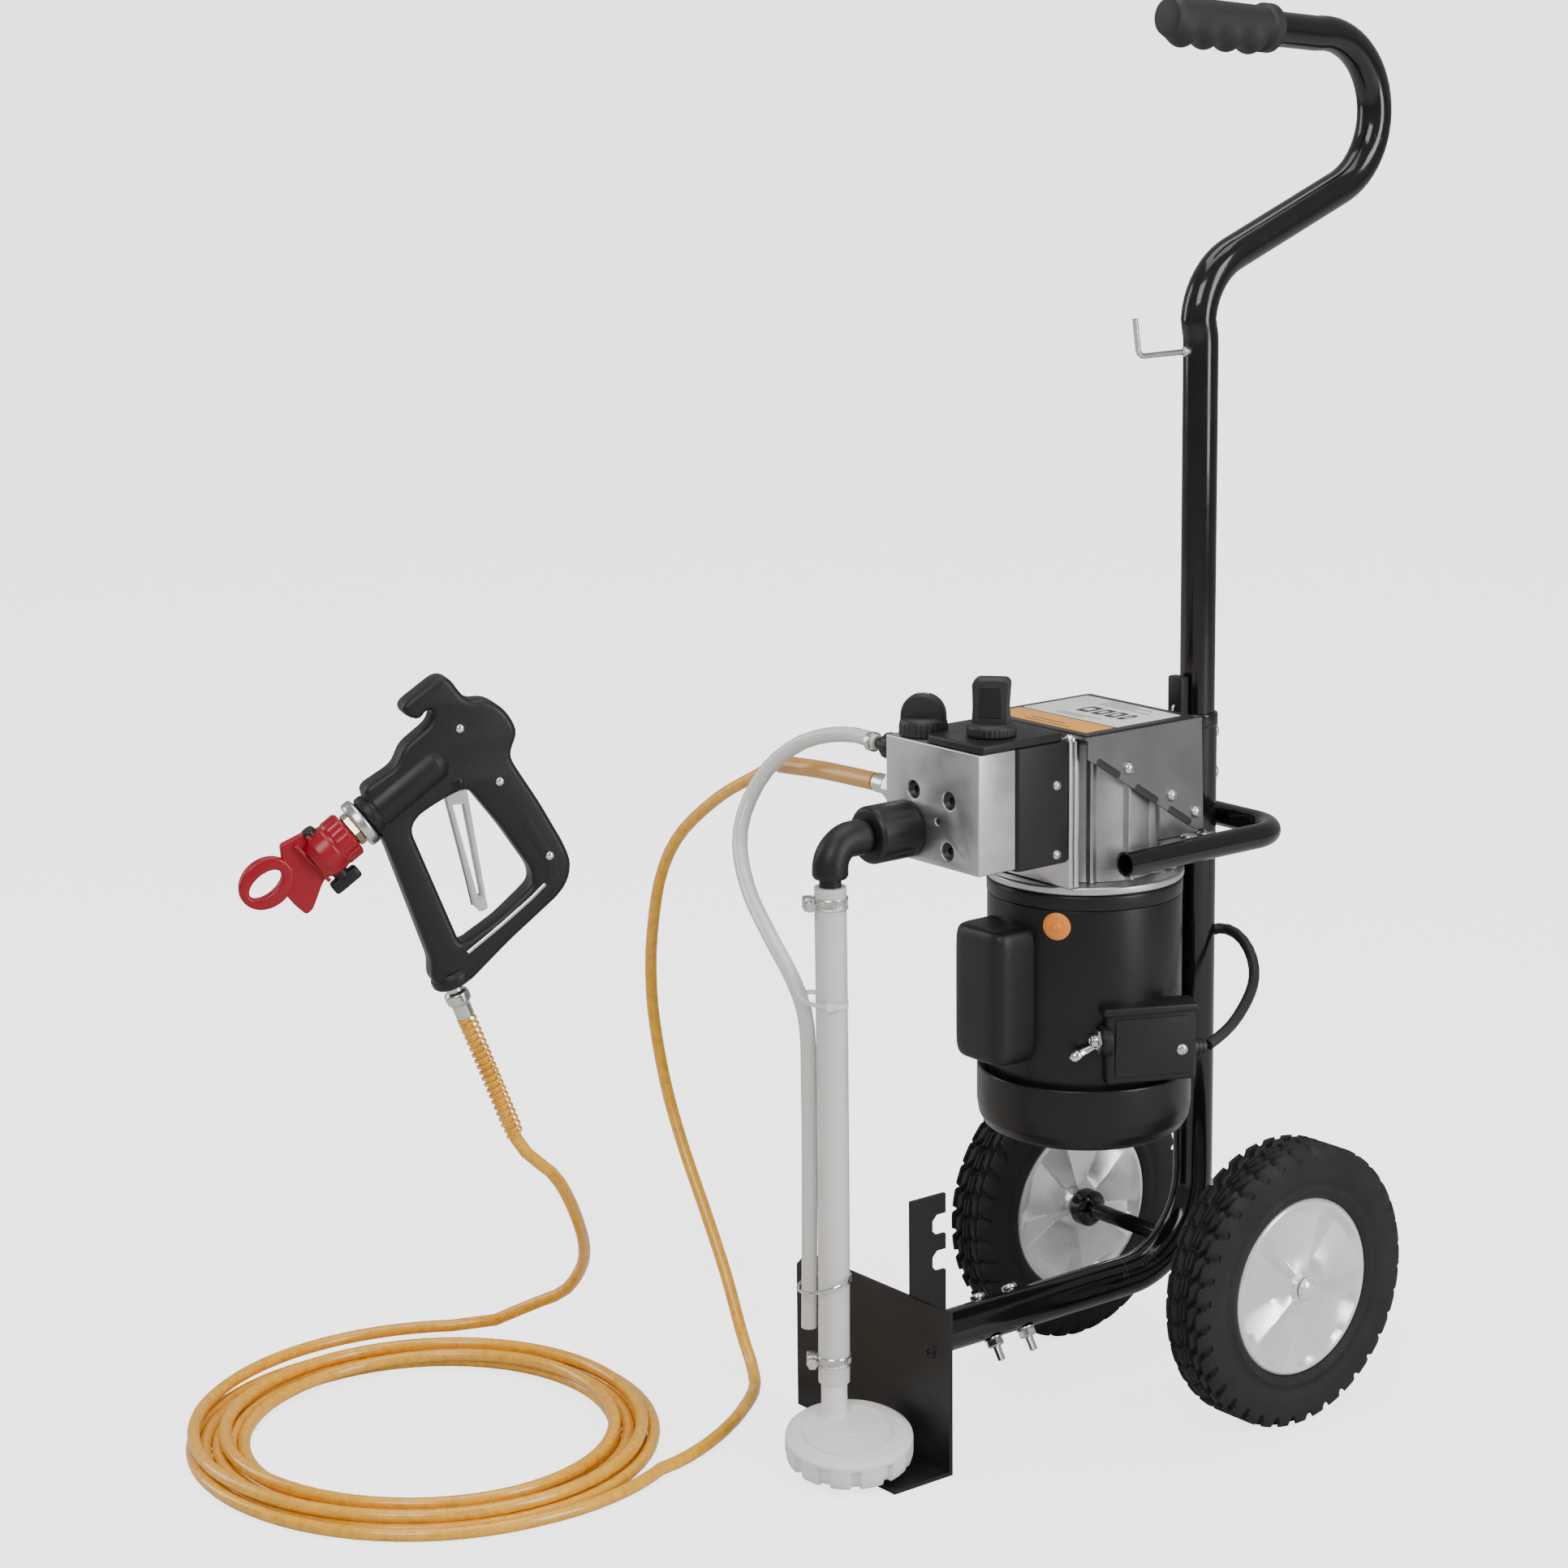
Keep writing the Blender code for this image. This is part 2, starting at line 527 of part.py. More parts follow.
def make_gearbox():
    """Crank housing on the end bell, its sheet cover, and the label on top."""
    bottom = END_BELL_TOP_Z + GAP
    case = turned("gearbox_case", [(0, 500), (50, 500), (52, 498), (52, bottom), (0, bottom)],
                  CASTING, (0, MOTOR_Y, 0), steps=28)
    front = box("front", (-HEAD_X, FLANGE_Y[0], bottom), (HEAD_X, FLANGE_Y[1], 501), CASTING, 1.5)
    ribs = [box("rib", (49, -2.5, bottom), (55, 2.5, 497), CASTING, at=(0, 0, 0),
                rotation=(0, 0, math.radians(angle))) for angle in (-35, -8, 19, 161, 188, 215)]
    for rib in ribs:
        rib.location = Vector((0, MOTOR_Y, 0)) * MM
    join(case, front, *ribs)
    room = rod("room", 42, bottom - 5, 490, CASTING, (0, MOTOR_Y, 0), steps=28)
    bore = rod("bore", 13, 0, 70, CASTING, (0, MOTOR_Y, PISTON_Z), "-Y")
    cut(case, room, bore)
    top = 501 + GAP
    wide = 57.0
    cover = box("gearbox_cover", (-wide, -141, top), (wide, -31, top + 1.8), GREY_SHEET)
    cheek = [(-139, top + 0.5), (-31.5, top + 0.5), (-29, 424), (-36, 424), (-128, 482), (-139, 488)]
    sides = [plate("cheek", [(-y, z) for y, z in cheek], 1.8, GREY_SHEET,
                   at=(side * (wide - 0.9), 0, 0), rotation=FACING_SIDE)
             for side in (-1, 1)]
    join(cover, *sides)
    box("label_plate", (-wide + 3, -138, top + 2.1), (wide - 3, -35, top + 3.1), LABEL)
    for number, (y, z) in enumerate(((-101, 471), (-60, 446), (-37, 431)), 1):
        screw = [(0, 4.2), (3, 3.6), (4.6, 1.4), (4.6, 0), (2, 0), (2, -3), (0, -3)]
        at = (wide + GAP, y, z + 6)
        turned("cover_screw_" + str(number), screw, STEEL, at, "X", 14)
        cut(cover, rod("hole", 2.3, -6, 6, STEEL, at, "X", 14))


def make_pump():
    """Pump housing, valve manifold, their cover, the piston and the two control knobs."""
    low, high = PUMP_Z
    rear = PUMP_FRONT_Y + MANIFOLD_DEPTH
    housing = box("pump_housing", (-HEAD_X - 1, rear + GAP, low - 2), (HEAD_X + 1, FLANGE_Y[0] - GAP, high),
                  PLASTIC_BLACK, 3)
    cut(housing, rod("bore", 11.4, -60, 60, STEEL, (0, -172, PISTON_Z), "-Y"))
    rod("piston", 11, 30, 97, STEEL, (0, MOTOR_Y, PISTON_Z), "-Y")
    manifold = box("manifold", (-HEAD_X, PUMP_FRONT_Y, low), (HEAD_X, rear, high), ALUMINIUM, 0.8)
    for x, z in ((-19, 468), (17.5, 466), (16, 431)):
        cut(manifold, rod("socket", 6.2, -2, 9, ALUMINIUM, (x, PUMP_FRONT_Y + 7, z), "-Y", 16))
    cut(manifold, rod("port", 9, -2, 12, ALUMINIUM, (SUCTION_X, PUMP_FRONT_Y + 10, SUCTION_PORT_Z), "-Y"))
    box("valve_cover", (-8, PUMP_FRONT_Y + 2, high + GAP), (HEAD_X + 1, FLANGE_Y[0] - 6, high + 6),
        PLASTIC_BLACK, 1.5)
    prime = empty("prime_knob_axis", (-30, -211, high + GAP))
    knob = turned("prime_knob", [(0, 15), (14.5, 15), (16.5, 12.5), (17, 0), (0, 0)], PLASTIC_BLACK,
                  parent=prime, steps=24)
    join(knob, box("bar", (-5.5, -16, 8), (5.5, 16, 29), PLASTIC_BLACK, 3, parent=prime, at=(0, 0, 0),
                   rotation=(0, 0, math.radians(-52))))
    dial = empty("pressure_knob_axis", (24, -197, high + 6 + GAP))
    knob = turned("pressure_knob", [(0, 9), (15, 9), (17, 6.5), (17, 0), (0, 0)], PLASTIC_BLACK,
                  parent=dial, steps=24)
    join(knob, box("bar", (-6, -13.5, 4), (6, 13.5, 40), PLASTIC_BLACK, 2, parent=dial, at=(0, 0, 0),
                   rotation=(0, 0, math.radians(-48))))


def make_suction():
    """Swivel nut, elbow, clear tube and the floor strainer, with the thinner return tube beside."""
    nut = [(8, 1), (8.6, 1), (8.6, 5), (19, 5), (20, 7), (20, 38), (17, 41), (8, 41)]
    nut = turned("suction_nut", [(r, z) for r, z in reversed(nut)], PLASTIC_BLACK,
                 (SUCTION_X, PUMP_FRONT_Y + 5, SUCTION_PORT_Z), "-Y", 12)
    def side(y, z):
        return Vector((SUCTION_X, y, z))
    bend = 18.0
    elbow_line = [side(-246, SUCTION_PORT_Z),
                  *arc((SUCTION_Y + bend, SUCTION_PORT_Z - bend), bend, 90, 180, 8, side),
                  side(SUCTION_Y, 409)]
    elbow = tube("suction_elbow", elbow_line, 7.6, PLASTIC_BLACK, 4, as_mesh=True)
    sleeve = tube("sleeve", [side(-268, SUCTION_PORT_Z), *elbow_line[2:-1], side(SUCTION_Y, 416)], 12.5,
                  PLASTIC_BLACK, 4, as_mesh=True)
    join(elbow, sleeve)
    tube("suction_tube", [side(SUCTION_Y, 408.6), side(SUCTION_Y, 300), side(SUCTION_Y, 180),
                          side(SUCTION_Y, 60)], SUCTION_R, CLEAR, 3)
    seat = empty("strainer_axis", (SUCTION_X, SUCTION_Y, 59.6), (0, 0, 0))
    lean = (math.radians(6), math.radians(8), 0)
    disc = turned("strainer", [(0, 10), (40, 10), (44, 7), (44, -5), (42, -10), (0, -10)], STRAINER,
                  (22, -5, -36.5), steps=36, parent=seat, rotation=lean)
    join(disc, turned("nipple", [(0, 0), (9, 0), (9, -22), (12, -26), (12, -33), (0, -33)], STRAINER,
                      parent=seat, steps=20))
    tube("return_tube", smooth_path(RETURN_ROUTE, 18), RETURN_R, CLEAR, 2)
    barb = [(0, 0), (4, 0), (5, -6), (5, -10), (9.5, -10), (9.5, -20), (6.5, -20), (6.5, -27), (0, -27)]
    turned("return_barb", barb, PLASTIC_BLACK, (-75.3, -213, 489), "X", 16,
           rotation=(0, -math.pi / 2, 0))


def make_hose():
    """High-pressure hose: outlet fitting and sleeve, run to the coil, coil, and run to the gun."""
    start, y, z = OUTLET
    fitting = [(0, 30), (6, 30), (7, 27), (7, 16), (9.5, 14), (9.5, 4), (7, 4), (7, 0), (0, 0)]
    turned("hose_fitting", fitting, STEEL, (start, y, z), "X", 12, rotation=(0, -math.pi / 2, 0))
    sleeve = [(start - 30.3, y, z), (-110, -213, 460.4), (-140, -213, 459.4), (-165, -213, 458),
              (-186.6, -213, 456.1)]
    tube("hose_sleeve", smooth_path(sleeve, 18), 6.6, AMBER, 3)
    tube("hose_up", smooth_path(HOSE_UP_ROUTE, 22), HOSE_R, AMBER, 2)
    inner, outer = COIL_R
    low, high = 0.5, COIL_HEIGHT
    ring = [(inner + 6, high), (outer - 8, high), (outer, high - 8), (outer, low + 4),
            (outer - 4, low), (inner + 4, low), (inner, low + 4), (inner, high - 6)]
    turned("hose_coil", ring, AMBER, (*COIL_CENTRE, 0), steps=36)
    tube("hose_gun", smooth_path(HOSE_GUN_ROUTE, 22), HOSE_R, AMBER, 2)


def make_cord():
    """Mains lead from the switch box, behind the upright to a small coil and its plug."""
    tube("power_cord", smooth_path(CORD_ROUTE, 18), CORD_R, RUBBER, 2)
    inner, outer = CORD_COIL_R
    ring = [(inner + 3, 25), (outer - 4, 25), (outer, 21), (outer, 3), (outer - 3, 0.4),
            (inner + 3, 0.4), (inner, 3), (inner, 22)]
    turned("power_cord_coil", ring, RUBBER, (*CORD_COIL_CENTRE, 0), steps=24)
    tube("power_cord_tail", smooth_path(TAIL_ROUTE, 10), CORD_R, RUBBER, 2)
    seat = empty("plug_axis", (-99.6, 202.7, 10.6), (0, 0, math.radians(194)))
    plug = box("power_plug", (10, -11, -10), (37, 11, 10), RUBBER, 4, parent=seat, at=(0, 0, 0))
    neck = turned("neck", [(0, 24), (7, 24), (5, 0), (0, 0)], RUBBER, parent=seat, steps=16,
                  rotation=(0, math.pi / 2, 0))
    blades = [box("blade", (34, y - 0.8, -3.2), (54, y + 0.8, 3.2), RUBBER, parent=seat, at=(0, 0, 0))
              for y in (-6.3, 6.3)]
    earth = rod("earth", 2.4, 34, 57, RUBBER, (0, 0, -6.6), steps=12, parent=seat,
                rotation=(0, math.pi / 2, 0))
    join(plug, neck, *blades, earth)


def make_gun():
    """Spray gun: body with its trigger loop and hook, nozzle, guard, tip, trigger and swivel."""
    gun = empty("gun_axis", GUN_AT, (0, 0, GUN_YAW))
    flat = (math.pi / 2, 0, 0)
    outline = [(-3, 220), (-29, 202), (-28, 195), (-17, 190), (-12, 197), (-7, 197), (-9, 188),
               (-29, 173), (-34, 160), (-58, 146), (-46, 112), (-43, 108), (-13, 21), (-14, 9), (-8, 3),
               (12, 3), (43, 31), (79, 60), (86, 70), (88, 83), (83, 96), (66, 127), (48, 156),
               (46, 163), (52, 177), (47, 188), (40, 196), (30, 202), (19, 201), (12, 207), (5, 218)]
    window = [(-25, 115), (-20, 124), (-8, 131), (4, 137), (16, 141), (38, 112), (59, 80), (60, 71),
              (56, 66), (35, 48), (8, 31)]
    body = plate("gun_body", outline, 22, PLASTIC_BLACK, [window], rotation=flat, parent=gun)
    aim = empty("barrel_axis", (BARREL_FRONT[0], 0, BARREL_FRONT[1]),
                (0, -math.pi / 2 - BARREL_TILT, 0), gun)
    join(body, turned("barrel", [(0, 0), (15, 0), (15, -62), (12, -66), (0, -66)], PLASTIC_BLACK,
                      parent=aim, steps=24))
    drop = empty("gun_hose_axis", (3, 0, 2.4), (0, math.pi - HOSE_TILT, 0), gun)
    cut(body, rod("seat", 14, 0, 40, PLASTIC_BLACK, parent=drop))
    cut(body, box("slot", (-4, -6, 112), (22, 6, 152), PLASTIC_BLACK, parent=gun, at=(0, 0, 0)))
    nozzle = [(0, 30), (9, 30), (10.5, 28), (10.5, 14), (13, 12), (17, 8), (17, 1.5), (0, 1.5)]
    turned("gun_nozzle", nozzle, STEEL, parent=aim, steps=24)
    make_tip(aim)
    hinge = empty("trigger_axis", TRIGGER_AT, parent=gun)
    lever = [(-5, 3), (5, 3), (8, -6), (20, -86), (21, -91), (15, -93), (11, -88), (-6, -14), (-7, -4)]
    plate("trigger", lever, 10, STEEL, rotation=flat, parent=hinge)
    swivel = [(0, 26), (6.5, 26), (6.5, 16), (8.5, 14), (8.5, 7), (6, 5), (6, 0.4), (0, 0.4)]
    turned("gun_swivel", swivel, STEEL, parent=drop, steps=16)
    turned("spring_guard", [(0, 124), (5.6, 124), (6.8, 118), (6.8, 26.4), (0, 26.4)], AMBER,
           parent=drop, steps=16)


def make_tip(aim):
    """Red guard round the nozzle, with its wing and front loop, and the reversible tip across it."""
    collar = [(11.2, 30.4), (4, 30.4), (4, 46), (13, 46), (17, 40), (17, 16), (15, 14.4), (11.2, 14.4)]
    guard = turned("tip_guard", collar[3:] + collar[:3], RED, parent=aim, steps=24)
    turns = [math.tau * step / 28 for step in range(28)]
    loop = plate("loop", [(79 + 20 * math.cos(t), 10 + 17 * math.sin(t)) for t in turns], 8, RED,
                 [[(80 + 13 * math.cos(t), 10 + 7 * math.sin(t)) for t in turns[::2]]],
                 rotation=ALONG_BARREL, parent=aim)
    outline = [(31, 9), (35, 20), (56, 25), (74, -6), (74, -14), (72, -25), (66, -25), (50, -15),
               (31, -9)]
    wing = plate("wing", outline, 7, RED, rotation=ALONG_BARREL, parent=aim)
    join(guard, loop, wing)
    across = (0, math.pi / 2, 0)
    cross = empty("tip_axis", (0, 0, TIP_AT), across, aim)
    cut(guard, rod("bore", 5.8, -40, 40, RED, parent=cross))
    tip = rod("spray_tip", 5.5, -22, 21, PLASTIC_BLACK, parent=cross, steps=20)
    join(tip, box("handle", (-11, -4.5, -29), (11, 4.5, -19.5), PLASTIC_BLACK, 2, parent=cross,
                  at=(0, 0, 0)))


make_frame()
make_handle()
make_rack()
make_wheels()
make_motor()
make_gearbox()
make_pump()
make_suction()
make_hose()
make_cord()
make_gun()
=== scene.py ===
# %% [markdown]
# # Airless paint sprayer on a two-wheeled cart
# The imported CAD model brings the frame, its moving bodies and the place of every part. The cells
# below dress it: smooth tubes and castings, a coiled hose, a moulded spray gun, tyres with tread,
# and a surface finish for each. Lengths are millimetres in a frame whose axle lies over y = 0.

# %% Load the frame
import math

import bmesh
import bpy
import numpy as np
from mathutils import Euler, Matrix, Vector

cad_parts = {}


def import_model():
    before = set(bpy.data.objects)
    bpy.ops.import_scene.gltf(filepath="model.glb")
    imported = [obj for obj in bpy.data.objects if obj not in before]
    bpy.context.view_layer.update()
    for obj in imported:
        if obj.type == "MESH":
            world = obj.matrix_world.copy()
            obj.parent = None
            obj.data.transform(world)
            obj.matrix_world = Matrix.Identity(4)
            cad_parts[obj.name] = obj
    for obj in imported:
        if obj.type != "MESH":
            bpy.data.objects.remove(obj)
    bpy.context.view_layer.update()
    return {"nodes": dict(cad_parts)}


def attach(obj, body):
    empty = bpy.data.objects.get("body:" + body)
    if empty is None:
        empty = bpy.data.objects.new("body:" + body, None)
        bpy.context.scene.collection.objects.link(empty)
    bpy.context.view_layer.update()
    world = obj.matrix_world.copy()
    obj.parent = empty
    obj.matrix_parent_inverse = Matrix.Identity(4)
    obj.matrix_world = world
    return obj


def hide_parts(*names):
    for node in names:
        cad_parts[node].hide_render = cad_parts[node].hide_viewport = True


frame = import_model()
nodes = frame["nodes"]
MM = 0.001
FOOT_Y = 275.5

# %% [markdown]
# ## Surfaces from two parameters
# Every new piece is a grid of points worked out by numpy. One helper turns the grid into a mesh,
# welds its seam and poles, turns its faces outwards and keeps edges sharper than 35 degrees crisp.

# %% A mesh from a grid
def world(points):
    """Cart millimetres to model metres: the origin moves from the axle to the foot flange."""
    return (np.asarray(points, float) + np.array([0, FOOT_Y, 0])) * MM


def finish_mesh(mesh, sharp=35):
    """Welds doubled points, turns faces outwards and keeps only edges past the angle crisp."""
    form = bmesh.new()
    form.from_mesh(mesh)
    bmesh.ops.remove_doubles(form, verts=form.verts, dist=0.000002)
    bmesh.ops.recalc_face_normals(form, faces=form.faces)
    form.to_mesh(mesh)
    form.free()
    mesh.shade_smooth()
    mesh.set_sharp_from_angle(angle=math.radians(sharp))


def show(name, mesh, body, shade, stands_for=()):
    """Links a mesh as a piece that rides on a body and may stand for CAD nodes."""
    piece = bpy.data.objects.new(name, mesh)
    bpy.context.scene.collection.objects.link(piece)
    mesh.materials.clear()
    mesh.materials.append(shade)
    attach(piece, body)
    if stands_for:
        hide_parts(*([stands_for] if isinstance(stands_for, str) else stands_for))
    return piece


def grid_faces(rows, columns, wrap_rows=False, wrap_columns=False, caps=False):
    """Quads of a rows by columns grid, joined round where asked, with flat end caps."""
    index = np.arange(rows * columns).reshape(rows, columns)
    ends = [index[0, ::-1].tolist(), index[-1].tolist()] if caps else []
    if wrap_rows:
        index = np.vstack([index, index[:1]])
    if wrap_columns:
        index = np.hstack([index, index[:, :1]])
    quads = np.stack([index[:-1, :-1], index[:-1, 1:], index[1:, 1:], index[1:, :-1]], -1)
    return quads.reshape(-1, 4).tolist() + ends


def grid_mesh(name, points, **joins):
    """A mesh from a rows x columns x 3 array of points, joined as grid_faces is told."""
    rows, columns = points.shape[:2]
    mesh = bpy.data.meshes.new(name)
    mesh.from_pydata(world(points).reshape(-1, 3), [], grid_faces(rows, columns, **joins))
    finish_mesh(mesh)
    return mesh


print("grid helpers ready")

# %% [markdown]
# A turned part is a profile carried round an axis. Its corners are rounded in the profile itself,
# which costs a few points and needs no Bevel modifier.

# %% Profiles and lathe surfaces
def soften(profile, radius=0.8, ring=False):
    """Rounds the corners of a profile: each corner becomes a short quadratic curve whose ends lie
    `radius` back along both edges, or half the edge where that is shorter."""
    p = np.asarray(profile, float)
    before, after = np.roll(p, 1, 0), np.roll(p, -1, 0)
    t = np.linspace(0, 1, 4)[None, :, None]
    back, ahead = before - p, after - p
    near = np.linalg.norm(back, axis=1, keepdims=True) + 1e-9
    far = np.linalg.norm(ahead, axis=1, keepdims=True) + 1e-9
    first = p + back * np.minimum(radius / near, 0.48)
    last = p + ahead * np.minimum(radius / far, 0.48)
    curve = (1 - t) ** 2 * first[:, None] + 2 * t * (1 - t) * p[:, None] + t ** 2 * last[:, None]
    rounded = curve.reshape(-1, p.shape[1])
    return rounded if ring else np.vstack([p[:1], rounded[4:-4], p[-1:]])


def axes(direction, turn=0.0):
    """Three unit axes whose third is the direction; `turn` rolls the first two about it."""
    w = Vector(direction).normalized()
    side = Vector((0, 0, 1)).cross(w)
    u = side.normalized() if side.length > 0.01 else Vector((1, 0, 0))
    v = w.cross(u)
    c, s = math.cos(turn), math.sin(turn)
    return np.array([c * u + s * v, c * v - s * u, w])


def turned(name, profile, body, shade, at, direction=(0, 0, 1), steps=64, ring=None, swell=None,
           stands_for=(), slot=None):
    """A lathe surface: point = centre + r cos(a) u + r sin(a) v + z w, with (r, z) the profile.
    `swell` may change r and z as a function of the angle a, for ribs, flutes and tread."""
    p = np.asarray(profile, float)
    ring = not (p[0, 0] == 0 and p[-1, 0] == 0) if ring is None else ring
    angle = np.linspace(0, math.tau, steps, endpoint=False)
    r, z, a = p[:, 0][:, None], p[:, 1][:, None], angle[None, :]
    if swell:
        r, z = swell(r, z, a)
    r, z, a = np.broadcast_arrays(r, z, a)
    u, v, w = axes(direction)
    points = np.array(at, float) + (r * np.cos(a))[..., None] * u + (r * np.sin(a))[..., None] * v
    points = points + z[..., None] * w
    mesh = grid_mesh(name, points, wrap_rows=ring, wrap_columns=True)
    return show(name, mesh, body, shade, stands_for)


print("lathe helpers ready")

# %% [markdown]
# Tubes and wires are a circle carried along a route. The circle keeps its own upright direction
# from step to step, so it doesn't twist in the bends.

# %% Routes and swept tubes
def smooth_path(route, spacing):
    """Evenly spaced points on the Catmull-Rom curve through a route's points."""
    g = np.asarray(route, float)
    g = np.vstack([2 * g[0] - g[1], g, 2 * g[-1] - g[-2]])
    p0, p1, p2, p3 = g[:-3, None], g[1:-2, None], g[2:-1, None], g[3:, None]
    t = np.linspace(0, 1, 24, endpoint=False)[None, :, None]
    curve = p1 + (p2 - p0) * t / 2 + (2 * p0 - 5 * p1 + 4 * p2 - p3) * t ** 2 / 2
    curve = (curve + (3 * p1 - p0 - 3 * p2 + p3) * t ** 3 / 2).reshape(-1, 3)
    return evenly(np.vstack([curve, g[-2]]), spacing)


def evenly(line, spacing):
    """Points at equal distances along a dense line."""
    run = np.concatenate([[0], np.cumsum(np.linalg.norm(np.diff(line, axis=0), axis=1))])
    want = np.linspace(0, run[-1], max(3, round(run[-1] / spacing) + 1))
    return np.stack([np.interp(want, run, line[:, k]) for k in range(3)], 1)


def run_of(line):
    """Length of a line of points: the sum of its steps."""
    return float(np.linalg.norm(np.diff(line, axis=0), axis=1).sum())


def carried(line):
    """Two unit vectors square to a line at each point, carried along it without twisting."""
    tangent = np.gradient(line, axis=0)
    tangent /= np.linalg.norm(tangent, axis=1, keepdims=True)
    u = np.cross(tangent[0], [0.12, 0.35, 0.93])
    across = [u / np.linalg.norm(u)]
    for step in tangent[1:]:
        u = across[-1] - step * (across[-1] @ step)
        across.append(u / np.linalg.norm(u))
    across = np.array(across)
    return across, np.cross(tangent, across)


def swept(name, line, radius, body, shade, sides=20, stands_for=()):
    """A round bar: point = line(s) + r(s) (cos a u(s) + sin a v(s)), with flat closed ends."""
    line = np.asarray(line, float)
    u, v = carried(line)
    a = np.linspace(0, math.tau, sides, endpoint=False)[None, :, None]
    r = np.broadcast_to(np.asarray(radius, float), (len(line),))[:, None, None]
    points = line[:, None] + r * (np.cos(a) * u[:, None] + np.sin(a) * v[:, None])
    mesh = grid_mesh(name, points, wrap_columns=True, caps=True)
    return show(name, mesh, body, shade, stands_for)


print("route helpers ready")

# %% [markdown]
# Plates, boxes and labels are flat outlines raised to a thickness. Blender's own curve fill makes
# the faces and its bevel rounds the rims; the curve is turned into a mesh at once.

# %% Plates and blocks
def slab(name, outline, thickness, body, shade, at=(0, 0, 0), frame3=None, holes=(), edge=0.8,
         stands_for=(), slot=None):
    """A flat outline raised to a thickness with rounded rims. frame3 holds the plate's own X, Y
    and Z axes, and `at` is the middle of its thickness."""
    data = bpy.data.curves.new(name, "CURVE")
    data.dimensions = "2D"
    data.fill_mode = "BOTH"
    data.extrude = thickness / 2 - edge
    data.bevel_depth = edge
    data.bevel_resolution = 3
    data.offset = -edge
    for loop in (outline, *holes):
        line = data.splines.new("POLY")
        line.points.add(len(loop) - 1)
        flat = np.zeros((len(loop), 4))
        flat[:, :2] = loop
        flat[:, 3] = 1
        line.points.foreach_set("co", flat.ravel())
        line.use_cyclic_u = True
    maker = bpy.data.objects.new(name + "_maker", data)
    bpy.context.scene.collection.objects.link(maker)
    graph = bpy.context.evaluated_depsgraph_get()
    mesh = bpy.data.meshes.new_from_object(maker.evaluated_get(graph))
    bpy.data.objects.remove(maker)
    points = np.zeros(len(mesh.vertices) * 3)
    mesh.vertices.foreach_get("co", points)
    x, y, z = frame3 if frame3 is not None else np.eye(3)
    points = points.reshape(-1, 3) @ np.array([x, y, z]) + np.array(at, float)
    mesh.vertices.foreach_set("co", world(points).ravel())
    finish_mesh(mesh, 30)
    return show(name, mesh, body, shade, stands_for)


def corner_square(half_x, half_y, radius, steps=5):
    """The outline of a rectangle with round corners."""
    a = np.radians(np.linspace(0, 90, steps))
    out = []
    for k, (sx, sy) in enumerate(((1, 1), (-1, 1), (-1, -1), (1, -1))):
        b = a + k * math.pi / 2
        out.append(np.stack([sx * (half_x - radius) + radius * np.cos(b),
                             sy * (half_y - radius) + radius * np.sin(b)], 1))
    return np.vstack(out)


def block(name, low, high, body, shade, round_by=2.0, frame3=None, edge=1.0, stands_for=(),
          slot=None):
    """A block with round upright corners and softened rims, between two corners."""
    low, high = np.array(low, float), np.array(high, float)
    half = (high - low) / 2
    centre = (high + low) / 2
    outline = corner_square(half[0], half[1], round_by)
    turn = np.eye(3) if frame3 is None else np.array(frame3)
    return slab(name, outline, 2 * half[2], body, shade, centre, turn, (), edge, stands_for, slot)


def rotated(yaw):
    """Own axes of a piece turned about the upright by a number of radians."""
    c, s = math.cos(yaw), math.sin(yaw)
    return np.array([[c, s, 0], [-s, c, 0], [0, 0, 1]])


# Own axes of a piece that faces forward: its X to +X, its Y up, its Z forward.
FRONTWAYS = np.array([[1, 0, 0], [0, 0, 1], [0, -1, 0]])
print("surface helpers ready")

# %% [markdown]
# ## Finishes
# Real paint, rubber and castings are never one flat colour. Three shader groups carry what they
# share: slow colour drift, fine grain for bump and roughness, and thin scuffs. Each material
# keeps its own Principled shader and its own values.

# %% Shader groups
def group(name, inputs, outputs):
    """An empty shader group with named sockets, and its own input and output nodes."""
    tree = bpy.data.node_groups.new(name, "ShaderNodeTree")
    for label, kind, value in inputs:
        socket = tree.interface.new_socket(label, in_out="INPUT", socket_type=kind)
        if value is not None:
            socket.default_value = value
    for label, kind in outputs:
        tree.interface.new_socket(label, in_out="OUTPUT", socket_type=kind)
    return tree, tree.nodes.new("NodeGroupInput"), tree.nodes.new("NodeGroupOutput")


print("group helper ready")


# %% The drift of a colour
def drift_group():
    """Colour times (1 + amount (noise - 0.5)): a slow drift in lightness."""
    tree, given, out = group("Colour drift", [
        ("Vector", "NodeSocketVector", None), ("Colour", "NodeSocketColor", None),
        ("Scale", "NodeSocketFloat", 20.0), ("Amount", "NodeSocketFloat", 0.2)],
        [("Colour", "NodeSocketColor")])
    noise = tree.nodes.new("ShaderNodeTexNoise")
    noise.inputs["Detail"].default_value = 4
    span = tree.nodes.new("ShaderNodeMath")
    span.operation = "SUBTRACT"
    span.inputs[1].default_value = 0.5
    gain = tree.nodes.new("ShaderNodeMath")
    gain.operation = "MULTIPLY_ADD"
    gain.inputs[2].default_value = 1.0
    tint = tree.nodes.new("ShaderNodeVectorMath")
    tint.operation = "SCALE"
    link = tree.links.new
    link(given.outputs["Vector"], noise.inputs["Vector"])
    link(given.outputs["Scale"], noise.inputs["Scale"])
    link(noise.outputs["Fac"], span.inputs[0])
    link(span.outputs[0], gain.inputs[0])
    link(given.outputs["Amount"], gain.inputs[1])
    link(given.outputs["Colour"], tint.inputs[0])
    link(gain.outputs[0], tint.inputs["Scale"])
    link(tint.outputs[0], out.inputs["Colour"])
    return tree


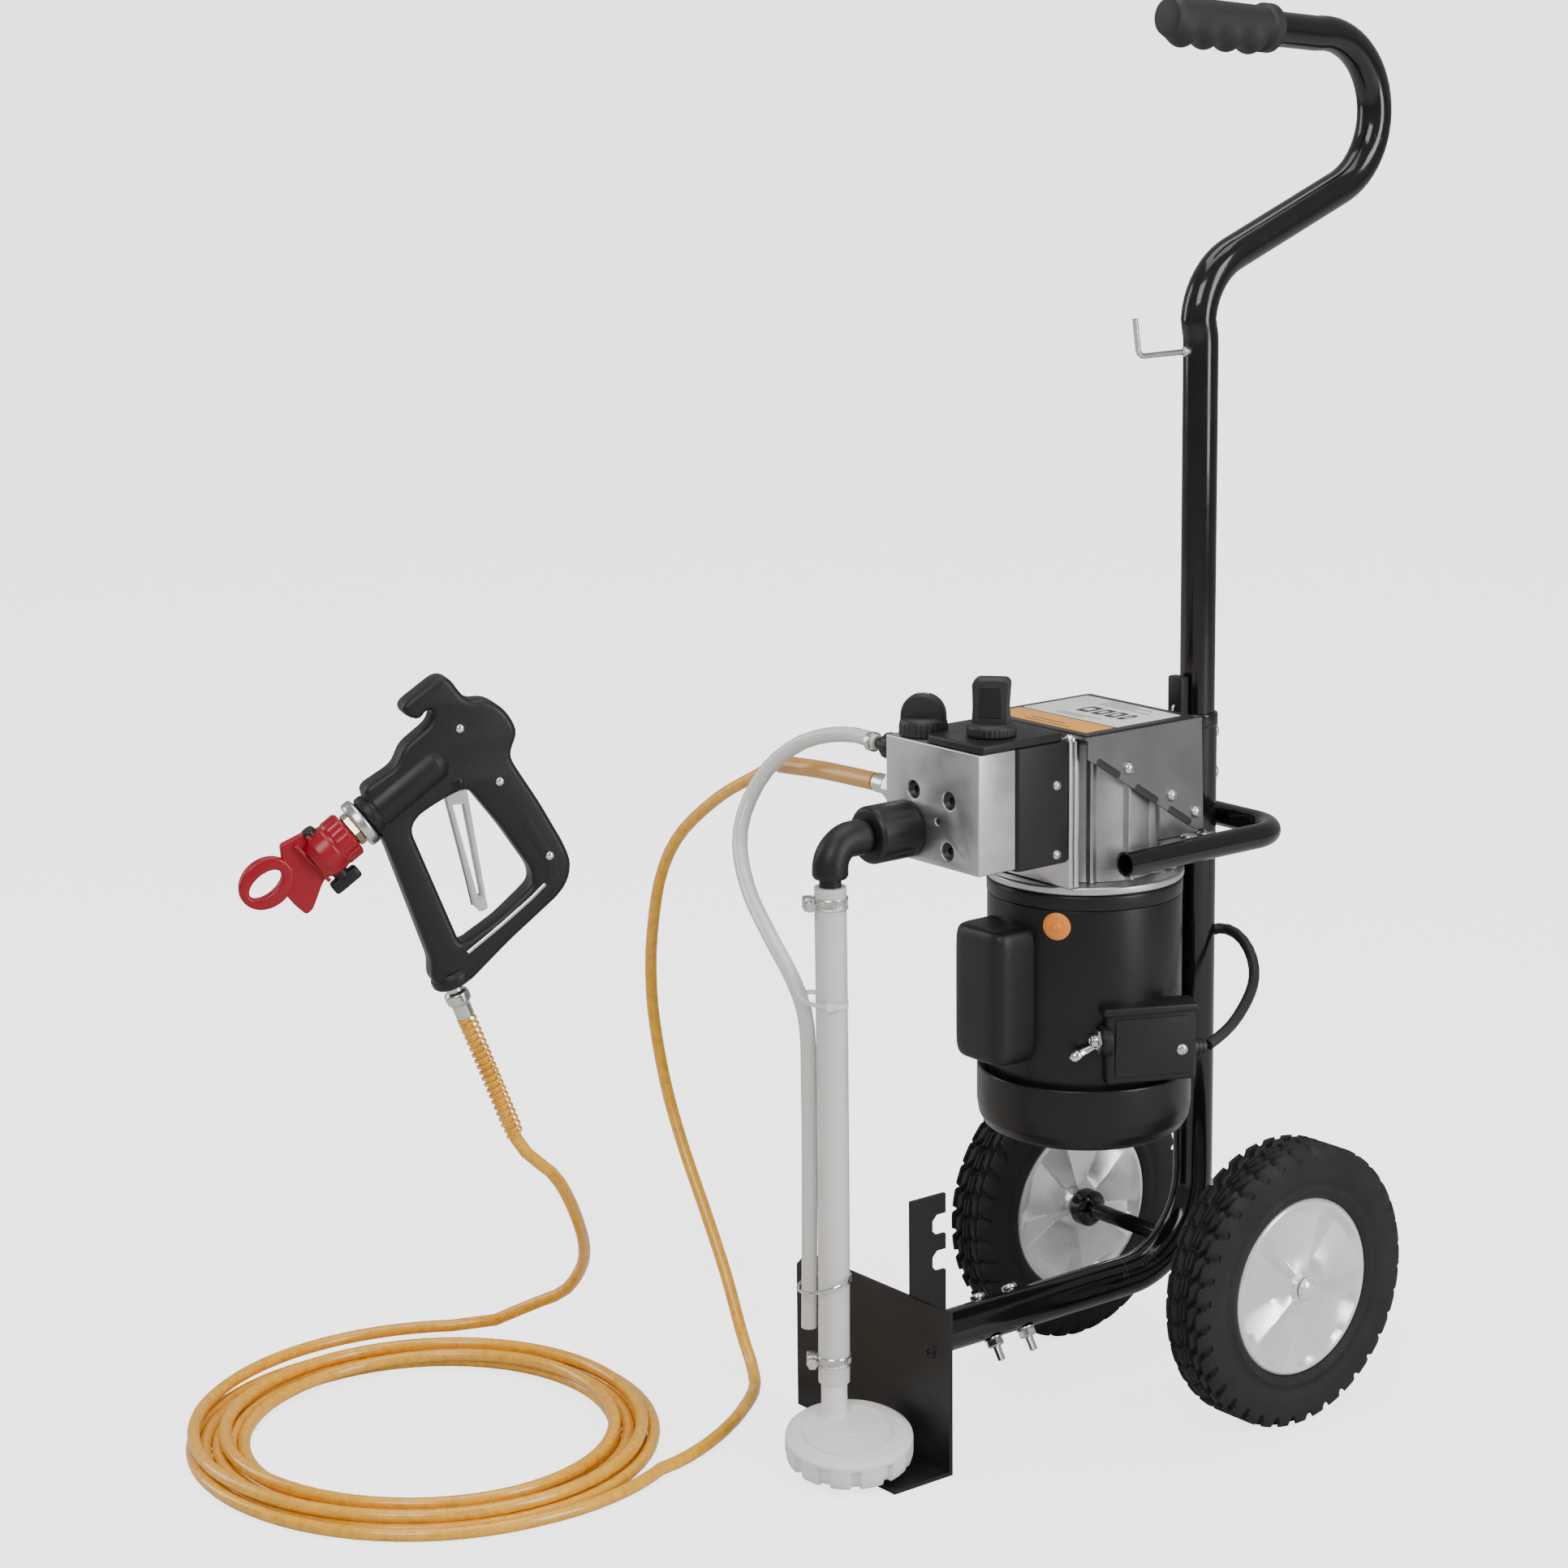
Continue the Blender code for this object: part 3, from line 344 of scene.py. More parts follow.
DRIFT = drift_group()
print("made", DRIFT.name)


# %% Grain for bump and roughness
def grain_group():
    """Fine noise stretched by Stretch, as a height and as a roughness between two limits."""
    tree, given, out = group("Grain", [
        ("Vector", "NodeSocketVector", None), ("Scale", "NodeSocketFloat", 800.0),
        ("Stretch", "NodeSocketVector", (1.0, 1.0, 1.0)), ("Low", "NodeSocketFloat", 0.3),
        ("High", "NodeSocketFloat", 0.5)],
        [("Height", "NodeSocketFloat"), ("Roughness", "NodeSocketFloat")])
    squeeze = tree.nodes.new("ShaderNodeVectorMath")
    squeeze.operation = "MULTIPLY"
    fine = tree.nodes.new("ShaderNodeTexNoise")
    fine.inputs["Detail"].default_value = 3
    broad = tree.nodes.new("ShaderNodeTexNoise")
    broad.inputs["Scale"].default_value = 35
    spread = tree.nodes.new("ShaderNodeMapRange")
    spread.inputs["From Min"].default_value = 0.3
    spread.inputs["From Max"].default_value = 0.7
    link = tree.links.new
    link(given.outputs["Vector"], squeeze.inputs[0])
    link(given.outputs["Stretch"], squeeze.inputs[1])
    link(squeeze.outputs[0], fine.inputs["Vector"])
    link(given.outputs["Scale"], fine.inputs["Scale"])
    link(given.outputs["Vector"], broad.inputs["Vector"])
    link(broad.outputs["Fac"], spread.inputs["Value"])
    link(given.outputs["Low"], spread.inputs["To Min"])
    link(given.outputs["High"], spread.inputs["To Max"])
    link(fine.outputs["Fac"], out.inputs["Height"])
    link(spread.outputs["Result"], out.inputs["Roughness"])
    return tree


GRAIN = grain_group()
print("made", GRAIN.name)


# %% Thin scuffs
def scuff_group():
    """Thin scratches: where stretched noise lies within Width of one half."""
    tree, given, out = group("Scuffs", [
        ("Vector", "NodeSocketVector", None), ("Scale", "NodeSocketFloat", 60.0),
        ("Width", "NodeSocketFloat", 0.01), ("Cover", "NodeSocketFloat", 0.62)],
        [("Mask", "NodeSocketFloat")])
    line = tree.nodes.new("ShaderNodeTexNoise")
    line.inputs["Distortion"].default_value = 0.6
    away = tree.nodes.new("ShaderNodeMath")
    away.operation = "COMPARE"
    away.inputs[1].default_value = 0.5
    patch = tree.nodes.new("ShaderNodeTexNoise")
    patch.inputs["Scale"].default_value = 14
    some = tree.nodes.new("ShaderNodeMath")
    some.operation = "GREATER_THAN"
    both = tree.nodes.new("ShaderNodeMath")
    both.operation = "MULTIPLY"
    link = tree.links.new
    for noise in (line, patch):
        link(given.outputs["Vector"], noise.inputs["Vector"])
    link(given.outputs["Scale"], line.inputs["Scale"])
    link(line.outputs["Fac"], away.inputs[0])
    link(given.outputs["Width"], away.inputs[2])
    link(patch.outputs["Fac"], some.inputs[0])
    link(given.outputs["Cover"], some.inputs[1])
    link(away.outputs[0], both.inputs[0])
    link(some.outputs[0], both.inputs[1])
    link(both.outputs[0], out.inputs["Mask"])
    return tree


SCUFF = scuff_group()
print("made", SCUFF.name)

# %% A finish from the groups
def shade_of(name, colour, rough, metallic=0.0, drift=0.15, drift_scale=25, grain=900,
             bump=0.05, stretch=(1, 1, 1), scuff=None, scuff_cover=0.6, coat=0.0, **plain):
    """A Principled material whose colour drifts, whose roughness varies between two limits and
    whose surface has a fine grain; scuffs, where given, are thin lines of another colour."""
    material = bpy.data.materials.new(name)
    material.use_nodes = True
    tree = material.node_tree
    surface = tree.nodes["Principled BSDF"]
    spot = tree.nodes.new("ShaderNodeTexCoord").outputs["Object"]

    def use(part, **values):
        """Places a group in this material with its own values."""
        node = tree.nodes.new("ShaderNodeGroup")
        node.node_tree = part
        tree.links.new(spot, node.inputs["Vector"])
        for label, value in values.items():
            node.inputs[label].default_value = value
        return node
    tinted = use(DRIFT, Colour=(*colour, 1), Scale=drift_scale, Amount=drift).outputs["Colour"]
    rubbed = use(GRAIN, Scale=grain, Stretch=stretch, Low=rough[0], High=rough[1])
    if scuff:
        worn = use(SCUFF, Cover=scuff_cover).outputs["Mask"]
        mix = tree.nodes.new("ShaderNodeMix")
        mix.data_type = "RGBA"
        tree.links.new(worn, mix.inputs["Factor"])
        tree.links.new(tinted, mix.inputs[6])
        mix.inputs[7].default_value = (*scuff, 1)
        tinted = mix.outputs[2]
    tree.links.new(tinted, surface.inputs["Base Color"])
    tree.links.new(rubbed.outputs["Roughness"], surface.inputs["Roughness"])
    dent = tree.nodes.new("ShaderNodeBump")
    dent.inputs["Strength"].default_value = bump
    dent.inputs["Distance"].default_value = 0.0004
    tree.links.new(rubbed.outputs["Height"], dent.inputs["Height"])
    tree.links.new(dent.outputs["Normal"], surface.inputs["Normal"])
    surface.inputs["Metallic"].default_value = metallic
    surface.inputs["Coat Weight"].default_value = coat
    for label, value in plain.items():
        surface.inputs[label.replace("_", " ")].default_value = value
    return material


print("finish helper ready")

# %% Paints, plastics and rubber
ENAMEL = shade_of("gloss black enamel", (0.006, 0.006, 0.007), (0.1, 0.2), grain=160, bump=0.06,
                  coat=0.2, scuff=(0.04, 0.04, 0.045), scuff_cover=0.66, Specular_IOR_Level=0.4)
MOTOR_BLACK = shade_of("satin black enamel", (0.008, 0.008, 0.009), (0.26, 0.38), grain=500,
                       bump=0.08,
                       Specular_IOR_Level=0.32)
SHEET_BLACK = shade_of("satin black sheet", (0.009, 0.009, 0.01), (0.34, 0.5), grain=700,
                       bump=0.12, scuff=(0.09, 0.09, 0.09), scuff_cover=0.58,
                       Specular_IOR_Level=0.34)
PLASTIC = shade_of("moulded black plastic", (0.01, 0.01, 0.011), (0.34, 0.48), grain=1500,
                   bump=0.18,
                   Specular_IOR_Level=0.34)
KNOB = shade_of("knob plastic", (0.02, 0.02, 0.023), (0.4, 0.52), grain=1200, bump=0.15,
                Specular_IOR_Level=0.4)
SOFT_GRIP = shade_of("soft grip rubber", (0.012, 0.012, 0.012), (0.5, 0.66), grain=1100, bump=0.3)
TYRE = shade_of("tyre rubber", (0.012, 0.012, 0.013), (0.6, 0.78), grain=600, bump=0.35, drift=0.5,
                Specular_IOR_Level=0.35)
HUB_WHITE = shade_of("pale hub enamel", (0.86, 0.86, 0.85), (0.24, 0.32), 0.6, drift=0.03,
                     drift_scale=20, grain=900, bump=0.04)
print("dark finishes and the hub's made")

# %% Metals
MACHINED = shade_of("machined aluminium", (0.6, 0.59, 0.585), (0.28, 0.42), 1.0, grain=260,
                    bump=0.14, stretch=(0.15, 0.15, 5), drift=0.4, drift_scale=60)
CASTING = shade_of("cast aluminium", (0.34, 0.335, 0.33), (0.4, 0.58), 1.0, grain=1100, bump=0.4,
                   drift=0.35, drift_scale=60)
ZINC = shade_of("zinc plate", (0.68, 0.68, 0.66), (0.18, 0.32), 1.0, grain=500, bump=0.06,
                drift=0.25, drift_scale=90)
CHROME = shade_of("bright chrome", (0.82, 0.82, 0.83), (0.05, 0.11), 1.0, grain=300, bump=0.02,
                  drift=0.08)
GREY_SHEET = shade_of("grey sheet steel", (0.17, 0.17, 0.175), (0.3, 0.44), 0.8, grain=420,
                      bump=0.1, stretch=(1, 0.2, 5), drift=0.25)
print("metals made")

# %% Label colours, bright plastics and vinyl
PAPER_WHITE = shade_of("label white", (0.84, 0.83, 0.8), (0.25, 0.34), drift=0.05, bump=0.02)
PAPER_BLACK = shade_of("label black", (0.02, 0.02, 0.022), (0.25, 0.36), drift=0.1, bump=0.02)
PAPER_ORANGE = shade_of("label orange", (0.86, 0.37, 0.035), (0.25, 0.36), drift=0.06, bump=0.02)
ORANGE = shade_of("orange cap", (0.85, 0.25, 0.025), (0.32, 0.45), drift=0.1, bump=0.05)
RED = shade_of("red guard plastic", (0.3, 0.004, 0.014), (0.24, 0.36), drift=0.12, bump=0.06,
               coat=0.08, Specular_IOR_Level=0.35)
OFF_WHITE = shade_of("strainer plastic", (0.84, 0.82, 0.8), (0.32, 0.45), drift=0.08, grain=700,
                     bump=0.1, Subsurface_Weight=0.1)
COPPER = shade_of("copper windings", (0.55, 0.2, 0.09), (0.3, 0.45), 1.0, grain=200, bump=0.5,
                  stretch=(1, 1, 0.15))
VINYL = shade_of("clear vinyl", (0.88, 0.87, 0.84), (0.08, 0.16), drift=0.1, drift_scale=30,
                 bump=0.03,
                 coat=0.4, Transmission_Weight=0.3, IOR=1.42)
AMBER_VINYL = shade_of("amber vinyl", (0.9, 0.55, 0.16), (0.1, 0.2), drift=0.1, bump=0.04,
                       Transmission_Weight=0.45, IOR=1.42)
TIE_WHITE = shade_of("white nylon", (0.8, 0.8, 0.78), (0.35, 0.45), drift=0.04, bump=0.03)
print("materials", len(bpy.data.materials))

# %% [markdown]
# ## Camera, floor and light
# The camera looks down a little at the switch box side. Large soft panels stand in for a light
# tent, so gloss paint shows long quiet reflections. The floor and the room glow for the camera's
# own rays only, which keeps the ground pale without washing out the blacks.

# %% Camera, floor and lights
def camera():
    """The camera from its yaw, pitch and roll: the three axes are worked out and set as columns."""
    yaw, pitch, roll = 0.90493, 0.17607, -0.0101
    right = np.array([math.cos(yaw), math.sin(yaw), 0])
    ahead = np.array([-math.sin(yaw) * math.cos(pitch), math.cos(yaw) * math.cos(pitch),
                      -math.sin(pitch)])
    up = np.cross(right, ahead)
    across = math.cos(roll) * right + math.sin(roll) * up
    upward = math.cos(roll) * up - math.sin(roll) * right
    data = bpy.data.cameras.new("Camera")
    data.sensor_width = 36
    data.lens = 83.38
    data.shift_y = -0.1
    data.clip_end = 50
    eye = bpy.data.objects.new("Camera", data)
    turn = Matrix([[across[k], upward[k], -ahead[k]] for k in range(3)])
    eye.rotation_euler = turn.to_euler()
    eye.location = (1.82066, -1.50944, 1.00913)
    bpy.context.scene.collection.objects.link(eye)
    bpy.context.scene.camera = eye
    return eye


def soft_panel(name, at, aim, size, power):
    """A rectangular area light that faces a point."""
    data = bpy.data.lights.new(name, "AREA")
    data.shape = "RECTANGLE"
    data.size, data.size_y = size
    data.energy = power
    lamp = bpy.data.objects.new(name, data)
    lamp.location = at
    lamp.rotation_mode = "QUATERNION"
    lamp.rotation_quaternion = (Vector(aim) - Vector(at)).to_track_quat("-Z", "Y")
    bpy.context.scene.collection.objects.link(lamp)


EYE = camera()
ROOM_LIGHT = 0.4   # strength of the room as a light
FLOOR_GLOW = 2.4   # what the camera sees on top of it
FLOOR_GREY = 0.6
print("camera at", tuple(round(v, 2) for v in EYE.location))

# %% The floor
FLOOR_SHADE = bpy.data.materials.new("pale floor")
FLOOR_SHADE.use_nodes = True
floor_tree = FLOOR_SHADE.node_tree
ground = floor_tree.nodes["Principled BSDF"]
ground.inputs["Base Color"].default_value = (FLOOR_GREY, FLOOR_GREY, FLOOR_GREY, 1)
ground.inputs["Roughness"].default_value = 0.9
ground.inputs["Emission Color"].default_value = (1, 1, 1, 1)
glow = floor_tree.nodes.new("ShaderNodeMath")
glow.operation = "MULTIPLY"
glow.inputs[1].default_value = FLOOR_GLOW
seen = floor_tree.nodes.new("ShaderNodeLightPath")
floor_tree.links.new(seen.outputs["Is Camera Ray"], glow.inputs[0])
floor_tree.links.new(glow.outputs[0], ground.inputs["Emission Strength"])
floor_mesh = bpy.data.meshes.new("floor")
floor_mesh.from_pydata([(-40, -40, 0), (40, -40, 0), (40, 40, 0), (-40, 40, 0)], [], [(0, 1, 2, 3)])
floor_mesh.materials.append(FLOOR_SHADE)
FLOOR = bpy.data.objects.new("floor", floor_mesh)
bpy.context.scene.collection.objects.link(FLOOR)
print("floor half width m", 40)

# %% The lights and the room
soft_panel("key", (1.6, -2.4, 2.6), (0, 0.1, 0.4), (1.6, 1.6), 58)
soft_panel("left", (-2.6, -1.6, 1.4), (0, 0.1, 0.4), (1.0, 2.2), 28)
soft_panel("right", (2.6, 0.9, 1.3), (0, 0.1, 0.4), (0.9, 2.2), 58)
soft_panel("overhead", (-0.2, 0.2, 3.2), (0, 0.1, 0.3), (2.2, 2.2), 48)
sky = bpy.data.worlds.new("pale room")
sky.use_nodes = True
room = sky.node_tree
lit = room.nodes["Background"]
lit.inputs["Color"].default_value = (0.95, 0.96, 0.98, 1)
lit.inputs["Strength"].default_value = ROOM_LIGHT
backdrop = room.nodes.new("ShaderNodeBackground")
backdrop.inputs["Color"].default_value = (1, 1, 1, 1)
backdrop.inputs["Strength"].default_value = FLOOR_GREY * ROOM_LIGHT + FLOOR_GLOW
choose = room.nodes.new("ShaderNodeMixShader")
ray = room.nodes.new("ShaderNodeLightPath")
room.links.new(ray.outputs["Is Camera Ray"], choose.inputs["Fac"])
room.links.new(lit.outputs[0], choose.inputs[1])
room.links.new(backdrop.outputs[0], choose.inputs[2])
room.links.new(choose.outputs[0], room.nodes["World Output"].inputs["Surface"])
bpy.context.scene.world = sky
print("room light", ROOM_LIGHT, "for the camera", round(FLOOR_GREY * ROOM_LIGHT + FLOOR_GLOW, 2))

# %% [markdown]
# ## Hoses and leads
# A cord is one curve with its real length. The pressure hose leaves the pump through a clear
# sleeve, falls to the floor, winds six and a half turns and climbs to the gun. A winding is a
# line whose radius and height are functions of the turn number, with a small wave that all the
# turns share, so that they lie beside each other without crossing.

# %% Cord helpers and the hose's cover
def winding(centre, first_angle, turns, knots, radii, heights, sense, wave=(0.0, 0.0), spacing=12):
    """Points on a coil: angle = first + sense 2 pi s, radius and height interpolated over s, plus
    wave a cos 2 angle + b cos 3 angle."""
    s = np.linspace(0, turns, int(turns * 220))
    a = math.radians(first_angle) + sense * math.tau * s
    r = np.interp(s, knots, radii)
    fade = np.clip(np.minimum(s, turns - s) / 0.3, 0, 1)
    r = r + fade * (wave[0] * np.cos(2 * a + 0.6) + wave[1] * np.cos(3 * a))
    z = np.interp(s, knots, heights)
    line = np.stack([centre[0] + r * np.cos(a), centre[1] + r * np.sin(a), z], 1)
    return evenly(line, spacing)


def eased(line, passes):
    """Each point moves to a quarter, half, quarter mean with its neighbours; the ends stay."""
    line = line.copy()
    for _ in range(passes):
        line[1:-1] = line[:-2] / 4 + line[1:-1] / 2 + line[2:] / 4
    return line


def tightest(line):
    """Least bend radius in mm, and where: the circle through each point and those two steps away,
    abc / 4 area."""
    p, q, r = line[:-4], line[2:-2], line[4:]
    a, b, c = (np.linalg.norm(side, axis=1) for side in (q - p, r - q, r - p))
    area = np.linalg.norm(np.cross(q - p, r - p), axis=1) / 2
    radius = a * b * c / np.maximum(4 * area, 1e-6)
    k = int(radius.argmin())
    return round(float(radius[k]), 1), q[k].round(0).tolist()


def cord(name, line, diameter, shade, stands_for=(), sides=4):
    """One open spline through the points, as thick as the cord, that Blender bevels round."""
    data = bpy.data.curves.new(name, "CURVE")
    data.dimensions = "3D"
    data.bevel_depth = diameter / 2 * MM
    data.bevel_resolution = sides
    data.use_fill_caps = True
    spline = data.splines.new("POLY")
    spline.points.add(len(line) - 1)
    knots = np.ones((len(line), 4))
    knots[:, :3] = world(line)
    spline.points.foreach_set("co", knots.ravel())
    spline.use_smooth = True
    data.materials.append(shade)
    piece = bpy.data.objects.new(name, data)
    bpy.context.scene.collection.objects.link(piece)
    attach(piece, "sprayer")
    if stands_for:
        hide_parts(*stands_for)
    return piece


def hose_shade(name, low, high, rough, cells=(900, 160), coat=0.6):
    """A fibre core under a clear cover: colour = mix(low, high, 0.6 cell + cloud), where cell is
    the distance inside small Voronoi cells and cloud is fractal noise, both in Object space."""
    material = bpy.data.materials.new(name)
    material.use_nodes = True
    tree = material.node_tree
    surface = tree.nodes["Principled BSDF"]
    spot = tree.nodes.new("ShaderNodeTexCoord").outputs["Object"]
    cell = tree.nodes.new("ShaderNodeTexVoronoi")
    cell.inputs["Scale"].default_value = cells[0]
    cloud = tree.nodes.new("ShaderNodeTexNoise")
    cloud.inputs["Scale"].default_value = cells[1]
    cloud.inputs["Detail"].default_value = 4
    sum_ = tree.nodes.new("ShaderNodeMath")
    sum_.operation = "MULTIPLY_ADD"
    sum_.inputs[1].default_value = 0.6
    ramp = tree.nodes.new("ShaderNodeMix")
    ramp.data_type = "RGBA"
    ramp.inputs[6].default_value = (*low, 1)
    ramp.inputs[7].default_value = (*high, 1)
    link = tree.links.new
    link(spot, cell.inputs["Vector"])
    link(spot, cloud.inputs["Vector"])
    link(cell.outputs["Distance"], sum_.inputs[0])
    link(cloud.outputs["Fac"], sum_.inputs[2])
    link(sum_.outputs[0], ramp.inputs["Factor"])
    link(ramp.outputs[2], surface.inputs["Base Color"])
    dent = tree.nodes.new("ShaderNodeBump")
    dent.inputs["Strength"].default_value = 0.25
    dent.inputs["Distance"].default_value = 0.0003
    link(cell.outputs["Distance"], dent.inputs["Height"])
    link(dent.outputs["Normal"], surface.inputs["Normal"])
    surface.inputs["Roughness"].default_value = rough
    surface.inputs["Coat Weight"].default_value = coat
    surface.inputs["Coat Roughness"].default_value = 0.08
    return material


AMBER_HOSE = hose_shade("amber hose", (0.34, 0.13, 0.006), (0.95, 0.47, 0.02), 0.3)
LEAD = shade_of("lead jacket", (0.014, 0.014, 0.015), (0.4, 0.55), grain=800, bump=0.1)
print("hose finish ready")

# %% The pressure hose
HOSE_D = 9.0
SLEEVE_ROUTE = [(-78.9, -213, 461), (-110, -213, 460.4), (-140, -213, 459.4), (-165, -213, 457.6)]
HOSE_UP_ROUTE = [
    (-188.6, -213, 455.8), (-211, -215, 444), (-256, -216, 420), (-301, -218, 385),
    (-324, -220, 349), (-335, -221, 303), (-335, -223, 267), (-328, -225, 232), (-312, -227, 188),
    (-290, -228, 146), (-261, -230, 104), (-233, -233, 64), (-207, -239, 28), (-182, -248, 9),
    (-157, -266, 5), (-129, -300, 5), (-113, -325, 5), (-100, -350, 5), (-90, -376, 5),
    (-84, -402, 5)]
HOSE_GUN_ROUTE = [
    (-360, -355, 20), (-334, -338, 36), (-308.7, -326.5, 51), (-282, -329.4, 77),
    (-260, -341.5, 102), (-238, -361.5, 131.5), (-221, -383.3, 162.4), (-212.6, -401.3, 184),
    (-213, -428.2, 211.6), (-219.6, -448.2, 268), (-224.8, -464, 306)]
COIL_CENTRE = (-239.0, -492.0)
coil = winding(COIL_CENTRE, 30, 6.69, [0, 0.1, 0.4, 4.4, 4.8, 6.2, 6.5, 6.69],
               [178, 170, 166, 130, 131, 158, 167, 177],
               [5, 4.8, 4.8, 4.8, 13.3, 13.3, 14.5, 17], -1,
               (2.4, 1.2), spacing=14)
hose_line = np.vstack([smooth_path(SLEEVE_ROUTE + HOSE_UP_ROUTE, 14)[:-1], coil,
                       smooth_path(HOSE_GUN_ROUTE, 14)])
hose = cord("pressure_hose", hose_line, HOSE_D, AMBER_HOSE, ("hose_up", "hose_coil", "hose_gun"))
print("hose metres", round(run_of(hose_line) * MM, 2), "points", len(hose_line))

# %% The clear sleeve and the hose's spring guard
sleeve = swept("clear_sleeve", smooth_path(SLEEVE_ROUTE + [(-186, -213, 456)], 8), 6.5, "sprayer",
               AMBER_VINYL, 24, "hose_sleeve")
GUN_YAW = math.radians(71.8)
GUN_AT = np.array([-227.8, -473.5, 328.9])
GUN = np.array([[math.cos(GUN_YAW), math.sin(GUN_YAW), 0],
                [-math.sin(GUN_YAW), math.cos(GUN_YAW), 0], [0, 0, 1]])


def gun_point(x, y, z):
    """A point of the gun's own frame: X towards the handle's rear, Z up, Y towards its left."""
    return GUN_AT + np.array([x, y, z]) @ GUN


drop = math.radians(20.5)
hose_start = gun_point(3, 0, 2.4)
hose_down = gun_point(3 + math.sin(drop), 0, 2.4 - math.cos(drop)) - hose_start
s = np.linspace(0, 1, 620)
u, v, w = axes(hose_down)
angle = math.tau * 20 * s
radius = 6.0 - 0.5 * (s > 0.93)
wire = hose_start + (28 + 94 * s)[:, None] * w + radius[:, None] * (
    np.cos(angle)[:, None] * u + np.sin(angle)[:, None] * v)
guard = swept("hose_spring_guard", wire, 1.0, "sprayer", AMBER_HOSE, 8, "spring_guard")
print("spring guard from", hose_start.round(1), "towards", hose_down.round(3))

# %% The suction tube, its strainer and the return tube
SUCTION = (-26.0, -297.0)
suction_line = np.array([[*SUCTION, z] for z in np.linspace(410, 60, 26)])
suction_line[:, 0] += 0.8 * np.sin(np.linspace(0, math.pi, 26))
suction = cord("suction_tube_clear", suction_line, 22, VINYL, ("suction_tube",), 6)
RETURN_ROUTE = [
    (-76.3, -213, 489), (-99, -214, 491), (-127, -219, 487), (-150, -228, 477), (-169, -240, 457),
    (-175, -254, 430), (-166, -266, 406), (-136, -281, 382), (-99, -292, 360), (-63, -300, 337),
    (-47, -302, 312), (-45, -302, 270), (-45, -302, 200), (-46, -302, 140), (-47, -302, 94)]
return_line = smooth_path(RETURN_ROUTE, 12)
returning = cord("return_tube_clear", return_line, 11, VINYL, ("return_tube",), 5)
print("suction mm", round(run_of(suction_line)), "return mm", round(run_of(return_line)))

# %% The mains lead
CORD_ROUTE = [
    (87.4, -52.2, 278.5), (87, -34, 283), (78, -12, 291), (66, 12, 300), (50, 33, 309),
    (36, 41, 320.5), (23, 45, 328.5), (8, 46, 331.8), (-9, 45, 328), (-22, 42.5, 315.5),
    (-26.5, 41, 298), (-25, 40.5, 272), (-20, 40.5, 240), (-16, 40.5, 205),
    (-15, 41, 170), (-13, 46, 125), (-8, 58, 80), (2, 74, 42),
    (14, 95, 14), (21, 118, 4.6), (23, 138, 4.4)]
TAIL_ROUTE = [(-48, 206, 4.4), (-64, 205, 4.4), (-81, 205.6, 6.4), (-98, 203.3, 9.6)]
lead_coil = winding((-30, 155), -17.8, 4.353,
                    [0, 0.2, 0.35, 0.9, 1.15, 1.9, 2.1, 2.8, 3.05, 3.7, 3.85, 4.05, 4.2, 4.353],
                    [55.5, 48, 46.5, 46.5, 38.5, 38.5, 38.5,
                     38.5, 46.5, 47.5, 49.5, 53, 55.5, 55.5],
                    [4.4, 4.4, 4.4, 4.4, 4.4, 4.4, 12.8,
                     12.8, 12.8, 12.8, 14, 14, 10.5, 4.6], 1, spacing=7)
lead_line = np.vstack([smooth_path(CORD_ROUTE, 10)[:-1], lead_coil, smooth_path(TAIL_ROUTE, 8)[1:]])
lead_line = eased(lead_line, 5)
lead = cord("mains_lead", lead_line, 8, LEAD, ("power_cord", "power_cord_coil", "power_cord_tail"))
print("lead metres", round(run_of(lead_line) * MM, 2), "tightest bend", tightest(lead_line))

# %% [markdown]
# ## Frame tubes
# The upright, the bend at the axle and the base tube are one bent tube; the handle slides into
# it. A bent tube is a circle carried along a line, so both come from `swept`, with the bends
# given as true arcs for clean reflections.

# %% Tube lines
def arc(centre, radius, first, last, steps=24):
    """Points (y, z) of a circular bend in the cart's middle plane, as x = 0 rows."""
    a = np.radians(np.linspace(first, last, steps))
    y, z = centre[0] + radius * np.cos(a), centre[1] + radius * np.sin(a)
    return np.stack([np.zeros(steps), y, z], 1)


UPRIGHT_Y, BEND_R, BASE_Z = 20.3, 66.0, 84.2
PANEL_Y = -251.0
frame_line = np.vstack([
    np.linspace([0, UPRIGHT_Y, 490], [0, UPRIGHT_Y, 160], 12),
    arc((UPRIGHT_Y - BEND_R, BASE_Z + BEND_R), BEND_R, 0, -90),
    np.linspace([0, -60, BASE_Z], [0, -247.7, BASE_Z], 8)])
handle_line = np.vstack([
    np.linspace([0, UPRIGHT_Y, 396], [0, UPRIGHT_Y, 760], 12),
    arc((69.5, 768.5), 52, 176, 112.7), arc((136.5, 911.8), 57.2, -67.3, 95, 36),
    np.linspace([0, 125, 969.5], [0, -6, 981.5], 8)])
swept("frame_bent_tube", evenly(frame_line, 6), 14.3, "sprayer", ENAMEL, 40,
      "frame_tube")
swept("handle_bent_tube", evenly(handle_line, 6), 12.5, "sprayer", ENAMEL, 40,
      "handle_tube")
print("tubes mm", round(run_of(frame_line)), round(run_of(handle_line)))

# %% [markdown]
# The rack bar is a wide U whose open ends face forward. Its ends show the bore, so the tube's
# radius shrinks inwards at each end instead of closing flat.

